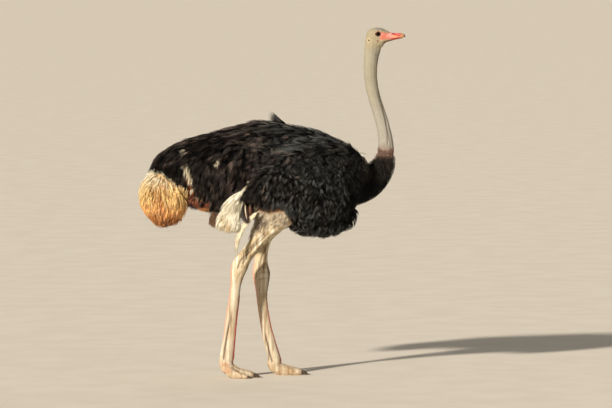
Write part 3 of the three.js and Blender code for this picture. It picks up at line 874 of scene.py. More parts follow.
EYE_FINISH = finish("eye_gloss", eye_gloss, Roughness=0.06, Specular_IOR_Level=0.22)
for name, side in SIDES.items():
    centre, look, ahead, above = eye_frame(side)
    bm = bmesh.new()
    bmesh.ops.create_uvsphere(bm, u_segments=48, v_segments=32, radius=EYE_RADIUS)
    for v in bm.verts:
        facing = max(0.0, v.co.normalized().dot(look))
        v.co += v.co.normalized() * 0.0009 * float(step(facing, 0.78, 1.0)) + centre
    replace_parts(piece(f"eyeball_{name}", as_mesh(bm, "eye"), "eye", EYE_FINISH), f"eye_{name}")

# %% [markdown]
# A lid is a circle of eight points, set aside from the axis and spun into a ring, whose points
# are then laid along the edge of the opening. A lash is a four-sided cone, cut three times along
# its length so that it can curve upwards. `on_ball` finds a point round the edge of the lids.

# %% Eyelids and lashes
LID_THICKNESS, LID_LIFT = 0.0022, 0.0009
RING_RADIUS = 3
LASHES, LASH_LENGTH = 26, 0.0085


def lid_skin(w):
    return {"Base Color": w.noise(300, 3).mix(paint(120, 62, 50), paint(74, 40, 34)),
            "Normal": w.bump(w.noise(700, 2), 0.3)}


LID_FINISH = finish("eyelid_skin", lid_skin, Roughness=0.5)
LASH_FINISH = finish("lash_black", lambda w: {"Base Color": w.noise(90).mix(BLACK, SOOT)},
                     Roughness=0.5)


def on_ball(side, angle, out, share=1.0):
    """A point round the edge of the lids, lifted off the eyeball by out."""
    centre, look, ahead, above = eye_frame(side)
    wide, tall = (float(v) for v in almond(np.array(angle)))
    way = look + ahead * math.tan(LID_HALF_WIDTH * wide * share) \
        + above * math.tan(LID_HALF_HEIGHT * tall * share)
    return centre + way.normalized() * (EYE_RADIUS + out), way.normalized()


for name, side in SIDES.items():
    bm = bmesh.new()
    ring = bmesh.ops.create_circle(bm, segments=8, radius=1.0)["verts"]
    bmesh.ops.translate(bm, verts=ring, vec=(RING_RADIUS, 0, 0))
    bmesh.ops.rotate(bm, verts=ring, cent=(0, 0, 0), matrix=Matrix.Rotation(math.pi / 2, 3, "X"))
    bmesh.ops.spin(bm, geom=bm.verts[:] + bm.edges[:], cent=(0, 0, 0), axis=(0, 0, 1),
                   dvec=(0, 0, 0), angle=2 * math.pi, steps=64, use_merge=True)
    bmesh.ops.remove_doubles(bm, verts=bm.verts, dist=1e-4)
    for v in bm.verts:
        angle = math.atan2(v.co.y, v.co.x)
        across, up = math.hypot(v.co.x, v.co.y) - RING_RADIUS, v.co.z
        heavy = 1.25 if math.sin(angle) > 0 else 0.9
        share = 1.0 + across * LID_THICKNESS * 0.55 * heavy / (EYE_RADIUS * 0.62)
        v.co = on_ball(side, angle, LID_LIFT + up * LID_THICKNESS * 0.45 * heavy, share)[0]
    bmesh.ops.recalc_face_normals(bm, faces=bm.faces)
    piece(f"eyelid_{name}", as_mesh(bm, "lid"), "skin", LID_FINISH)

    bm = bmesh.new()
    for k in range(LASHES):
        angle = math.radians(18 + 144 * k / (LASHES - 1))
        root, way = on_ball(side, angle, 0.0010, 1.04)
        centre, look, ahead, above = eye_frame(side)
        lash = bmesh.ops.create_cone(bm, cap_ends=True, segments=4, radius1=0.00032,
                                     radius2=0.00004, depth=1.0)["verts"]
        bmesh.ops.subdivide_edges(
            bm, edges=[e for e in {e for v in lash for e in v.link_edges}
                       if abs(e.verts[0].co.z - e.verts[1].co.z) > 0.5], cuts=3)
        new = [v for v in bm.verts if v.tag is False]
        length = LASH_LENGTH * (0.75 + 0.25 * math.sin(angle))
        sweep = (way + above * 0.15 + ahead * 0.35 * math.cos(angle)).normalized()
        turn = sweep.to_track_quat("Z", "Y").to_matrix()
        for v in new:
            t = v.co.z + 0.5
            v.co = root + turn @ Vector((v.co.x, v.co.y, t * length)) \
                + (above * 0.35 - look * 0.05) * length * t * t
            v.tag = True
    piece(f"lashes_{name}", as_mesh(bm, "lashes"), "skin", LASH_FINISH)

# %% [markdown]
# ## Bill and claws
# The bill is horn over bone: two flat blades with a bright red rim, a broad nail at the tip, and
# a long slot of a nostril on each side, set in soft red skin. Copies of the solids are remeshed
# very finely so that the horn reads as smooth. The claws are worn horn, handled the same way.


# %% Horn finishes
def bill_horn(w):
    fine = w.noise(160, 4, (0.35, 1, 1))
    return {"Base Color": face(w)[0], "Roughness": 0.42 + fine * 0.2, "Normal": w.bump(fine, 0.5)}


def claw_horn(w):
    worn = w.noise(150, 4, (0.3, 1, 1))
    return {"Base Color": worn.mix(paint(52, 40, 32), paint(98, 78, 60)),
            "Roughness": 0.35 + worn * 0.35, "Normal": w.bump(worn, 0.6)}


BILL_FINISH = finish("bill_horn", bill_horn)
CLAW_FINISH = finish("claw_horn", claw_horn)

# %% [markdown]
# The upper half of the bill is sculpted once it is remeshed. The nostril is cut along a line
# inside a soft raised rim, a groove marks where the nail begins, and the nail itself swells.

# %% Bill
BILL_VOXEL = 0.0011
NOSTRIL_LINE = [(0.723, 2.0600), (0.738, 2.0556), (0.756, 2.0502)]
NAIL_GROOVE = [(0.764, 2.060), (0.778, 2.051), (0.792, 2.042)]
NAIL_PLACE, NAIL_REACH = (0.784, 2.054), 0.011
for part in ("upper", "lower"):
    mesh = one_skin(copy_of(f"bill_{part}"), BILL_VOXEL, 2)
    co, normal = points(mesh)
    if part == "upper":
        rim = 0.0016 * near_line(co, NOSTRIL_LINE, 0.006)
        rim -= 0.0045 * near_line(co, NOSTRIL_LINE, 0.0022)
        groove = -0.0009 * near_line(co, NAIL_GROOVE, 0.0016)
        co += normal * ((rim + groove) * np.abs(normal[:, 1]))[:, None]
        from_nail = (co[:, 0] - NAIL_PLACE[0]) ** 2 + (co[:, 2] - NAIL_PLACE[1]) ** 2
        co += normal * (0.0030 * np.exp(-from_nail / NAIL_REACH ** 2))[:, None]
        put_points(mesh, co)
    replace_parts(piece(f"bill_{part}_horn", mesh, "bill", BILL_FINISH), f"bill_{part}")

# %% [markdown]
# Smoothing could push a claw into the ground, so its lowest points are held just above it.

# %% Claws
CLAW_VOXEL = 0.0013
for name in SIDES:
    for toe in ("third", "fourth"):
        node = f"claw_{toe}_{name}"
        mesh = one_skin(copy_of(node), CLAW_VOXEL, 2)
        co, normal = points(mesh)
        co[:, 2] = np.maximum(co[:, 2], SOLE_GAP)
        put_points(mesh, co)
        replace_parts(piece(f"{node}_horn", mesh, "claw", CLAW_FINISH), node)

# %% [markdown]
# ## How a plume is made
# Ostrich plumes have no hooks to hold their barbs together, so each one is a loose, drooping
# spray. The smallest unit here is a blade: a thin closed spike with three sides, a keel on top and
# a pointed end. A fan of blades from one root makes a spray. Each spray is bent along its own
# curve when it is planted, so no two look alike.


# %% Blades and fans
TRIANGLE = 0.577  # the radius of a three-sided ring whose sides are one unit long


def blade(width, thickness, cuts):
    """One blade of unit length along +Y, as points and triangles."""
    bm = bmesh.new()
    bmesh.ops.create_cone(bm, cap_ends=True, segments=3, radius1=1, radius2=1, depth=1)
    long_edges = [e for e in bm.edges if abs(e.verts[0].co.z - e.verts[1].co.z) > 0.5]
    bmesh.ops.subdivide_edges(bm, edges=long_edges, cuts=cuts)
    bm.verts.ensure_lookup_table()
    keel = math.atan2(bm.verts[0].co.y, bm.verts[0].co.x) - math.pi / 2
    bmesh.ops.rotate(bm, verts=bm.verts, cent=(0, 0, 0), matrix=Matrix.Rotation(-keel, 3, "Z"))
    for v in bm.verts:
        t = v.co.z + 0.5
        taper = (1 - t) ** 0.75 * (0.55 + 0.45 * math.sin(math.pi * min(1, t * 1.3 + 0.2)))
        v.co = (v.co.x * width * taper * TRIANGLE, t, v.co.y * thickness * taper)
    bmesh.ops.remove_doubles(bm, verts=bm.verts, dist=1e-7)
    bmesh.ops.triangulate(bm, faces=bm.faces)
    bmesh.ops.recalc_face_normals(bm, faces=bm.faces)
    bm.verts.ensure_lookup_table()
    co = np.array([v.co for v in bm.verts])
    faces = np.array([[v.index for v in f.verts] for f in bm.faces])
    bm.free()
    return co, faces


def fan(rng, count, spread, width, thickness, cuts=2):
    """A spray of blades from one root, in units of its length: x aside, y along, z off."""
    co, faces, aside = [], [], []
    shape, triangles = blade(width, thickness, cuts)
    for k in range(count):
        lean = spread * (2 * k / max(count - 1, 1) - 1) if count > 1 else 0.0
        lean += rng.normal(0, 0.12 * spread)
        reach = 1 - 0.28 * abs(lean) / max(spread, 1e-6) * rng.uniform(0.5, 1.2)
        one = shape * (1, reach, 1)
        bend = lean * one[:, 1] + rng.normal(0, 0.05) * one[:, 1] ** 2
        one = np.stack([one[:, 0] + bend, one[:, 1],
                        one[:, 2] - 0.30 * np.abs(bend) * one[:, 1] + 0.02 * rng.random()], 1)
        faces.append(triangles + sum(len(c) for c in co))
        co.append(one)
        aside.append(shape[:, 0] / width + 0.25 * shape[:, 2] / thickness)
    return np.concatenate(co), np.concatenate(faces), np.concatenate(aside)


# %% [markdown]
# The ground is a skin to plant on. It hands out roots at random, as many as its area asks for, and
# finds the nearest point on itself to any place, with the normal there.


# %% Ground
def unit(v):
    """The same directions with a length of one."""
    return v / np.maximum(np.linalg.norm(v, axis=1), 1e-9)[:, None]


class Ground:
    """A skin to plant on: its faces' middles and normals, and the nearest point to any place."""

    def __init__(self, mesh):
        bm = bmesh.new()
        bm.from_mesh(mesh)
        self.tree = BVHTree.FromBMesh(bm)
        self.co = np.array([f.calc_center_median() for f in bm.faces])
        self.normal = np.array([f.normal for f in bm.faces])
        self.area = np.array([f.calc_area() for f in bm.faces])
        bm.free()

    def nearest(self, places):
        found = [self.tree.find_nearest(p) for p in places]
        return np.array([f[0] for f in found]), np.array([f[1] for f in found])

    def roots(self, rng, each):
        """About one root for each area of skin, moved a little off the middle of its face."""
        chance = self.area / each * 1.0
        count = np.floor(chance + rng.random(len(chance))).astype(int)
        pick = np.repeat(np.arange(len(count)), count)
        normal = self.normal[pick]
        off = rng.normal(0, 1, (len(pick), 3))
        off -= normal * np.sum(off * normal, 1)[:, None]
        return self.co[pick] + off * np.sqrt(each) * 0.30, normal, pick


# %% [markdown]
# Weaving lays a spray along each route. A route is a curve through a start, a middle and an end,
# and the whole coat is worked out as arrays, one template at a time. For the bake, each spray has
# a small patch of its own on the unwrap, at a place that the caller gives it.

# %% Weaving sprays into one mesh
PATCH = 0.0026  # how wide the bake's patch for one spray is, on the whole unwrap
UNWRAP_EDGE, UNWRAP_SPAN = 0.012, 0.972


def weave(name, rng, routes, templates, unwrap, slot, material, curl=0.06, flare=0.0, **fields):
    """Joins one spray for each route into one mesh of closed blades.

    A route is a start, middle and end for each spray, then its side and its two normals."""
    start, middle, end, side, normal, end_normal = routes
    count = len(start)
    length = np.linalg.norm(middle - start, axis=1) + np.linalg.norm(end - middle, axis=1)
    which = rng.integers(0, len(templates), count)
    wave, phase = rng.normal(0, curl, count), rng.uniform(0, 6.28, count)
    lift = rng.normal(0, flare, count) if flare else np.zeros(count)
    fields["pick"] = rng.random(count)
    low, high = unwrap.min(0), unwrap.max(0)
    place = UNWRAP_EDGE + (unwrap - low) / (high - low) * UNWRAP_SPAN
    co, faces, uv, tip, owner, offset = [], [], [], [], [], 0
    for index, (shape, triangles, aside) in enumerate(templates):
        mine = np.flatnonzero(which == index)
        x, y, z = (shape[None, :, k] for k in range(3))
        u = np.clip(y, 0, 1)[..., None]
        a, b, c = start[mine, None], middle[mine, None], end[mine, None]
        path = (1 - u) ** 2 * a + 2 * u * (1 - u) * b + u ** 2 * c
        off = (1 - u) * normal[mine, None] + u * end_normal[mine, None]
        reach = length[mine, None, None]
        sway = wave[mine, None] * np.sin(y * 4.5 + phase[mine, None]) * y
        bent = path + side[mine, None] * (x + sway)[..., None] * reach
        bent += off * (z + lift[mine, None] * y ** 2)[..., None] * reach
        each = shape.shape[0]
        co.append(bent.reshape(-1, 3))
        faces.append((triangles[None] + (np.arange(len(mine)) * each)[:, None, None]).reshape(-1, 3)
                     + offset)
        offset += len(mine) * each
        patch = np.stack([np.tile(aside, (len(mine), 1)),
                          np.tile(shape[:, 1] + 0.06 * aside ** 2, (len(mine), 1))], 2)
        uv.append((place[mine, None] + patch * PATCH).reshape(-1, 2))
        tip.append(np.tile(shape[:, 1], len(mine)))
        owner.append(np.repeat(mine, each))
    co, faces, uv, owner = (np.concatenate(v) for v in (co, faces, uv, owner))
    mesh = bpy.data.meshes.new(name)
    mesh.vertices.add(len(co))
    mesh.loops.add(faces.size)
    mesh.polygons.add(len(faces))
    mesh.vertices.foreach_set("co", co.astype(np.float32).ravel())
    mesh.loops.foreach_set("vertex_index", faces.astype(np.int32).ravel())
    mesh.polygons.foreach_set("loop_start", np.arange(0, faces.size, 3, dtype=np.int32))
    mesh.update(calc_edges=True)
    layer = mesh.uv_layers.new(name="OFBake")
    layer.uv.foreach_set("vector", uv[faces.ravel()].astype(np.float32).ravel())
    carry(mesh, tip=np.concatenate(tip), **{key: value[owner] for key, value in fields.items()})
    return piece(name, mesh, slot, material)


# %% [markdown]
# Most sprays follow the skin. Their way is first turned flat against it. The tip is then brought
# back to the skin from where it would land, and lifted off by the depth of the coat.


# %% Routes over a skin
def routes_on(ground, roots, normal, lie, length, depth, hang=0.0, gather=0.0):
    """Bends each spray along the skin, from its root to where its tip stands off by depth.

    hang is the share by which a tip falls straight on instead of following the skin, and gather
    moves each tip sideways, to bunch it with its neighbours."""
    length, depth, hang = (np.broadcast_to(v, len(roots))[:, None].astype(float)
                           for v in (length, depth, hang))
    lie = unit(lie - normal * np.sum(lie * normal, 1)[:, None])
    ahead = roots + lie * length + gather
    on_skin, end_normal = ground.nearest(ahead)
    end = on_skin + end_normal * depth
    end += (ahead - end) * hang
    middle = roots + lie * (0.45 * length) + normal * (1.15 * depth) + 0.55 * gather
    return roots - normal * 0.001, middle, end, unit(np.cross(lie, normal)), normal, end_normal


# %% [markdown]
# ## Feather finishes
# Black plumes are never one black: they are glossy and deep, and their ends turn grey or a soft
# brown, partly as wear and partly as painted highlights. The numbers that each spray carries set
# how light it is, and the middles of the locks are painted lightest. A painted shadow keeps the
# band between breast and neck's base black. Sprays that spring from the marks take on white and
# rust, and the rust is painted darker higher up, as shade below the white patch. The knots there
# are drawn again as dark spots by position, because a whole spray is too long to stop at the edge
# of a small mark.

# %% Black plumes
DARK_SPOTS = [(-0.488, 1.028), (-0.464, 1.008), (-0.420, 1.038)]


def black_plume(w):
    pick, tip = w.field("pick"), w.field("tip")
    x, y, z = w.place().axes()
    lock, middle = w.field("lock"), w.field("middle")
    rusty = x.ramp(0.10, -0.20) * 0.7 + w.noise(6, 3).ramp(0.45, 0.65) * 0.4
    sheen = rusty.mix(paint(120, 122, 120), paint(120, 104, 97))
    # Painted shadow: the band between the breast and the neck's base stays black.
    breast_shadow_band = x.ramp(0.42, 0.48) * x.ramp(0.62, 0.58)
    # Painted highlights: lighter at the middles of the locks and on some sprays, less so towards
    # the front and the rump.
    painted_highlight = (0.40 + lock.ramp(0.30, 0.95) * 0.45) * middle.ramp(-0.15, 0.75)
    painted_highlight = painted_highlight + pick.ramp(0.60, 1.0) * 0.22
    painted_highlight = painted_highlight * (1 - x.ramp(0.20, 0.42) * 0.35) * (1 - breast_shadow_band * 0.75)
    painted_highlight = painted_highlight * (1 - x.ramp(-0.25, -0.50) * 0.40)
    colour = (painted_highlight * tip.ramp(0.05, 0.55)).mix(BLACK, sheen)
    pale = lock.ramp(0.950, 0.985) * middle.ramp(-0.2, 0.5) * x.ramp(0.30, 0.10)
    colour = (pale * 0.5).mix(colour, paint(186, 160, 146))
    lip = z.ramp(1.024, 1.008) * x.ramp(-0.448, -0.436) * x.ramp(-0.34, -0.37)
    # Painted shade: the rust strip turns darker higher up, below the white patch.
    high = z.ramp(1.07, 1.14)
    rust_skin_and_shade = high.mix(pick.mix(paint(126, 76, 58), paint(150, 96, 74)), paint(72, 34, 26))
    rust_skin_and_shade = lip.mix(rust_skin_and_shade, paint(238, 168, 104))
    spots = [((x - at) ** 2.0 + (z - height) ** 2.0).ramp(0.020 ** 2, 0.013 ** 2)
             for at, height in DARK_SPOTS]
    plain_rust = w.field("rust") * (1 - (spots[0] + spots[1] + spots[2]) * 0.95)
    colour = plain_rust.mix(colour, rust_skin_and_shade)
    white = tip.mix(paint(236, 222, 190), paint(250, 242, 222))
    peach = (z - x * 0.5).ramp(1.345, 1.275) * x.ramp(-0.35, -0.40)
    white = (peach * 0.7).mix(white, paint(236, 178, 128))
    return {"Base Color": w.field("white").mix(colour, white), "Roughness": 0.42 + pick * 0.2}


# %% [markdown]
# White plumes are cream. The tail runs from cream at its root through dusty gold to brown ends,
# with painted shade in the gaps between its plumes and painted highlights on its locks' middles.


# %% White plumes and the tail's plumes
def white_plume(w):
    pick, tip = w.field("pick"), w.field("tip")
    colour = (pick * 0.6 + tip * 0.4).mix(paint(255, 250, 232), paint(248, 238, 210))
    # Painted shade on the far wing: gold from its own line, and a browner tint by position.
    colour = w.field("gold").mix(colour, paint(222, 186, 126))
    x, y, z = w.place().axes()
    colour = (y.ramp(0.0, 0.1) * x.ramp(-0.31, -0.35) * 0.75).mix(colour, paint(200, 156, 130))
    return {"Base Color": (w.field("brown") * (0.5 + pick * 0.5)).mix(colour, paint(140, 88, 46)),
            "Roughness": 0.55 + pick * 0.15}


def tail_plume(w):
    pick, gap = w.field("pick"), w.field("gap")
    z = w.place().axes()[2] + (w.noise(16, 3) - 0.5) * 0.08
    colour = z.ramp(1.20, 1.10).mix(paint(255, 246, 214), paint(255, 226, 150))
    colour = (z.ramp(1.10, 0.95) * 0.75).mix(colour, paint(255, 172, 84))
    # Painted shade in the gaps between the locks, and painted highlights on some locks' middles.
    colour = (gap * z.ramp(1.24, 1.12) * 0.80).mix(colour, paint(196, 104, 40))
    colour = (pick.ramp(0.55, 1.0) * (1 - gap) * 0.45).mix(colour, paint(255, 238, 196))
    ends = z.ramp(0.985, 0.915) * (0.25 + pick * 0.75)
    colour = ends.mix(colour, paint(176, 92, 40))
    tips = (z.ramp(0.960, 0.915) * pick.ramp(0.60, 0.80)).mix(colour, paint(74, 36, 20))
    return {"Base Color": tips, "Roughness": 0.60 + pick * 0.1}


# %% [markdown]
# Plumes at the neck's base are black with grey tips, painted lighter as highlights, and painted
# black low down by the breast as its shadow; they are brown at the collar. The down on neck and
# head is a greyish cream. On the thighs it is whiter, with brown streaks, one dark patch of
# painted shadow and a rusty hem along the plumage.


# %% Plumes of the neck and down
def neck_plume(w):
    pick, tip = w.field("pick"), w.field("tip")
    x, y, z = w.place().axes()
    # Painted highlights on the tips; painted shadow keeps the plumes black low by the breast.
    colour = (pick.ramp(0.3, 1.0) * tip).mix(paint(18, 16, 14), paint(110, 98, 86))
    colour = (z + x * -0.2).ramp(1.02, 1.12).mix(BLACK, colour)
    fringe = (z + (w.noise(60, 2) - 0.5) * 0.05).ramp(1.295, 1.345)
    return {"Base Color": (fringe * 0.7).mix(colour, paint(156, 122, 106)),
            "Roughness": 0.5 + pick * 0.15}


def skin_down(w):
    pick, z = w.field("pick"), w.place().axes()[2]
    colour = pick.mix(paint(204, 194, 170), paint(176, 167, 144))
    colour = (z.ramp(1.46, 1.37) * 0.6).mix(colour, paint(140, 116, 100))
    return {"Base Color": colour, "Roughness": 0.7 + pick * 0.1}


def thigh_down(w):
    pick = w.field("pick")
    x, y, z = w.place().axes()
    colour = pick.mix(paint(246, 236, 216), paint(204, 184, 154))
    streaks = w.noise(34, 4, (1, 1, 0.5)).ramp(0.52, 0.64)
    colour = (streaks * 0.60).mix(colour, paint(122, 96, 76))
    # Painted shadow: a dark patch on the rear of the thigh.
    patch = ((x + 0.066) ** 2.0 + (z - 0.930) ** 2.0).ramp(0.052 ** 2, 0.020 ** 2)
    colour = (patch * (0.4 + pick * 0.6) * 0.9).mix(colour, paint(92, 66, 56))
    hem = (z + (w.noise(30, 3) - 0.5) * 0.05 - x.size() * 0.1).ramp(0.980, 1.004)
    colour = (hem * 0.8).mix(colour, paint(190, 120, 72))
    bristly = x.ramp(-0.01, 0.03) * z.ramp(0.990, 0.970) * 0.12
    return {"Base Color": (pick + bristly).ramp(0.93, 0.97).mix(colour, paint(60, 50, 46)),
            "Roughness": 0.65 + pick * 0.1}


BLACK_FINISH = finish("black_plumes", black_plume, Specular_IOR_Level=0.05)
WHITE_FINISH = finish("white_plumes", white_plume, Sheen_Weight=0.1)
TAIL_FINISH = finish("tail_plumes", tail_plume, Sheen_Weight=0.1)
NECK_FINISH = finish("neck_plumes", neck_plume, Specular_IOR_Level=0.25)
DOWN_FINISH = finish("skin_down", skin_down)
THIGH_FINISH = finish("thigh_down", thigh_down, Specular_IOR_Level=0.2)

# %% [markdown]
# ## The black coat
# On the back the sprays point to the tail and lie sleek. On the sides they fall, leaning a little
# to the rear. A smooth noise makes neighbours wander together. Space is also parted into lumps,
# cells with middles at random, from which curls and locks are made.


# %% Ways, lumps and unwraps
def wander(places, scale, seed):
    """A smooth random direction for each place, the same for neighbours."""
    return np.array([noise.noise_vector(Vector(p) * scale + Vector((seed, 0, 0))) for p in places])


def drift(way, places, scale, seed, amount):
    """One way for every place, and a smooth wander of some amount on top of it."""
    return np.tile(way, (len(places), 1)) + wander(places, scale, seed) * amount


def wrap(places, x=0.0, y=0.0):
    """Places unrolled round an upright axis: the height, and the angle about the axis."""
    return np.stack([places[:, 2], np.arctan2(places[:, 1] - y, places[:, 0] - x)], 1)


def body_lie(places, normal):
    """The way the plumes point: to the rear on the back, down and slightly back elsewhere."""
    back = step(normal[:, 2], 0.10, 0.75)[:, None]
    fall = np.stack([np.full(len(places), -0.28), 0 * back[:, 0], np.full(len(places), -1.0)], 1)
    sleek = np.stack([np.full(len(places), -1.0), 0.25 * np.sign(places[:, 1]),
                      np.full(len(places), -0.25)], 1)
    return fall + (sleek - fall) * back


def lumps(places, seed, spacing):
    """Each place's offset from the middle of its lump, counted in lumps, and the lump's number.

    spacing may differ along X, Y and Z, which makes long locks instead of round lumps."""
    local = np.random.default_rng(seed)
    scaled = places / spacing
    low, high = np.floor(scaled.min(0)), np.ceil(scaled.max(0)) + 1
    axes = [np.arange(low[k], high[k]) for k in range(3)]
    grid = np.stack(np.meshgrid(*axes, indexing="ij"), -1).reshape(-1, 3)
    grid += local.uniform(-0.4, 0.4, grid.shape)
    tree = KDTree(len(grid))
    for k, g in enumerate(grid):
        tree.insert(g, k)
    tree.balance()
    found = [tree.find(p) for p in scaled]
    number = np.array([f[1] for f in found])
    return scaled - np.array([f[0] for f in found]), local.random(len(grid))[number]


# %% [markdown]
# Sprays are spread evenly over the body shell. On wings and breast every spray leans away from
# the middle of its own lump, which makes soft curls. Finer locks lie over these: long ones on the
# back, hanging ones on the sides and short curls on the breast. The tips of a lock draw together.

# %% Roots and locks of the black coat
SPRAY_EACH = 0.000212
LUMP_SPACING = 0.085
BACK_LOCK, SIDE_LOCK, CURL_LOCK = ((0.070, 0.014, 0.014), (0.014, 0.014, 0.050),
                                   (0.015, 0.015, 0.024))
LOCK_REACH = 0.0080
rng = np.random.default_rng(11)
body_ground = Ground(join_shells([body_mesh, tail_core]))
roots, root_normal, root_face = body_ground.roots(rng, SPRAY_EACH)
on_body = root_face < len(body_mesh.polygons)
roots, root_normal = roots[on_body], root_normal[on_body]
back = step(root_normal[:, 2], 0.35, 0.85)
curly = (1 - back) * step(roots[:, 0], -0.30, 0.05)
from_middle = lumps(roots, 5, LUMP_SPACING)[0]
lie = body_lie(roots, root_normal)
lie += wander(roots, 13, 0) * (0.45 - 0.15 * back)[:, None]
lie += from_middle * (1.5 * curly)[:, None]
bulge = np.clip(1 - 2.6 * np.sum(from_middle ** 2, 1), -0.9, 1)

on_back = root_normal[:, 2] > 0.62
curled = ~on_back & (curly > 0.5)
off_lock, lock = np.zeros_like(roots), np.zeros(len(roots))
for seed, zone, spacing in ((6, on_back, BACK_LOCK), (7, curled, CURL_LOCK),
                            (8, ~on_back & ~curled, SIDE_LOCK)):
    off_lock[zone], lock[zone] = lumps(roots[zone], seed, spacing)
    off_lock[zone] *= spacing
along = unit(lie)
off_lock -= along * np.sum(off_lock * along, 1)[:, None]
lock_middle = 1 - np.linalg.norm(off_lock, axis=1) / LOCK_REACH

# %% [markdown]
# The coat is deepest on its curls and at the middle of each lock. Along its outline it swells and
# dips in a few broad places, each given by where it lies on the side, its reach and the depth
# that it adds. On the white and rust marks the sprays are short, so that the marks stay clear.

# %% Depth and length of the black coat
OUTLINE_LUMPS = [  # x, z, reach, more depth
    (-0.190, 1.51, 0.070, 0.008), (-0.050, 1.53, 0.090, 0.013), (0.185, 1.53, 0.030, -0.006),
    (0.215, 1.50, 0.040, 0.010), (0.300, 1.475, 0.055, 0.018), (0.390, 1.440, 0.055, 0.020),
    (0.470, 1.400, 0.045, 0.012), (0.540, 1.365, 0.035, 0.012), (0.520, 0.965, 0.060, 0.008),
    (0.400, 0.860, 0.050, 0.010), (0.190, 0.870, 0.050, 0.022)]
depth = coat_depth(roots, root_normal) * (1.06 + 0.45 * curly * bulge)
depth += 0.006 * np.clip(lock_middle, -1, 1) + 0.008 * (knots(roots) > 0.4)
for x, z, reach, more in OUTLINE_LUMPS:
    depth += more * np.exp(-((roots[:, 0] - x) ** 2 + (roots[:, 2] - z) ** 2) / reach ** 2)
length = (0.076 - 0.026 * curly + 0.016 * back) * rng.uniform(0.85, 1.15, len(roots))
white, rust = marks(roots)
length *= 1 - 0.45 * np.maximum(white, rust)
rear = step(roots[:, 0], -0.60, -0.70)

# %% [markdown]
# The coat is cut into pieces by place, so that no piece is too heavy. Each spray goes to the first
# zone in the list that takes it, and the neck's base is left for finer plumes. At the rump the
# sprays hang freely, and below the body a little more than above.

# %% Pieces of the black coat
NECK_FOOT, BODY_MIDDLE_Z = 1.03, 1.18
TEMPLATES = [fan(rng, 5, 0.14, 0.050, 0.022) for k in range(12)]
in_neck = (step(past_chest(roots), 0.50, 0.52) > 0.5) & (roots[:, 2] > NECK_FOOT)
on_top = ~in_neck & (root_normal[:, 2] > 0.42) & (roots[:, 2] > 1.15)
left = roots[:, 1] > 0
zones = {
    "coat_back": on_top & (roots[:, 0] < 0.0),
    "coat_shoulders": on_top,
    "coat_breast": ~in_neck & (roots[:, 0] > 0.30),
    "coat_belly": ~in_neck & (roots[:, 2] < 1.02) & (roots[:, 0] <= 0.30),
    "coat_right_flank": ~in_neck & ~left & (roots[:, 0] < -0.08),
    "coat_left_flank": ~in_neck & left & (roots[:, 0] < -0.08),
    "coat_right_wing": ~in_neck & ~left,
    "coat_left_wing": ~in_neck & left,
}
taken = np.zeros(len(roots), bool)
for name, zone in zones.items():
    zone = zone & ~taken
    taken |= zone
    ring = np.arctan2(roots[zone, 1], roots[zone, 2] - BODY_MIDDLE_Z)
    under = (root_normal[zone, 2] < 0) & (roots[zone, 0] < 0.40)
    hang = 0.10 + 0.10 * under + 0.35 * rear[zone]
    routes = routes_on(body_ground, roots[zone], root_normal[zone], lie[zone], length[zone],
                       depth[zone], hang, -0.65 * off_lock[zone])
    weave(name, rng, routes, TEMPLATES, np.stack([roots[zone, 0], ring], 1), "black_feathers",
          BLACK_FINISH, curl=0.05, flare=0.03, white=white[zone], rust=rust[zone],
          lock=lock[zone], middle=lock_middle[zone])

# %% [markdown]
# Some black plumes must hang clear of the skin: along the ragged lower edge of each wing, and
# below the white patch of the rump. Each edge is drawn as a line seen from the side, and every
# spray there is as long as it needs to be to reach it.

# %% Hanging edges
HEMS = {"wing": [(-0.235, 1.030), (-0.190, 1.052), (-0.110, 1.056), (-0.085, 1.050),
                 (-0.062, 0.998), (-0.030, 0.996), (-0.004, 0.972), (0.028, 1.004),
                 (0.054, 1.018), (0.082, 1.010), (0.096, 0.972), (0.118, 0.952), (0.150, 0.940)],
        "rump": [(-0.512, 1.056), (-0.495, 1.022), (-0.468, 1.003), (-0.438, 1.002),
                 (-0.408, 0.994), (-0.354, 0.990)]}
HEM_EACH, HEM_REACH = 0.000068, 0.085
for name, edge_line in HEMS.items():
    line_x, line_z = (np.array(v) for v in zip(*edge_line))
    roots, root_normal, face_number = body_ground.roots(rng, HEM_EACH)
    edge = np.interp(roots[:, 0], line_x, line_z) + rng.normal(0, 0.005, len(roots))
    keep = (face_number < len(body_mesh.polygons)) & (roots[:, 0] > line_x[0])
    keep &= (roots[:, 0] < line_x[-1]) & (root_normal[:, 2] < 0.3)
    keep &= (np.abs(roots[:, 1]) > 0.17) if name == "wing" else (roots[:, 2] < 1.09)
    long = roots[:, 2] - edge
    keep &= (long > 0.012) & (long < HEM_REACH)
    roots, root_normal, long = roots[keep], root_normal[keep], long[keep]
    fall = unit(drift((-0.12, 0.0, -1.0), roots, 30, 3, 0.15))
    end = roots + fall * long[:, None] + root_normal * (1, 1, 0) * 0.016
    middle = roots + fall * (0.5 * long[:, None]) + root_normal * 0.020
    side_way = unit(np.cross(fall, root_normal))
    off, lock_pick = lumps(roots, 12, SIDE_LOCK)
    quiet = brown = np.zeros(len(roots))
    if name == "rump":
        brown = (end[:, 0] < -0.372 - 0.03 * rng.random(len(end))) * 1.0
    weave(f"coat_hem_{name}", rng, [roots, middle, end, side_way, root_normal, root_normal],
          TEMPLATES, roots[:, [0, 1]] + roots[:, [2, 2]] * (0.5, 1), "black_feathers",
          BLACK_FINISH, curl=0.05, flare=0.02, white=quiet, rust=brown, lock=lock_pick,
          middle=1 - np.hypot(off[:, 0], off[:, 1]) * 1.6)

# %% [markdown]
# A lobe of black laps over the top of the white plumes. It is planned backwards: its tips are
# scattered over a triangle just outside them, and each root is the skin nearest to a point that
# lies ahead of the tip and above it.

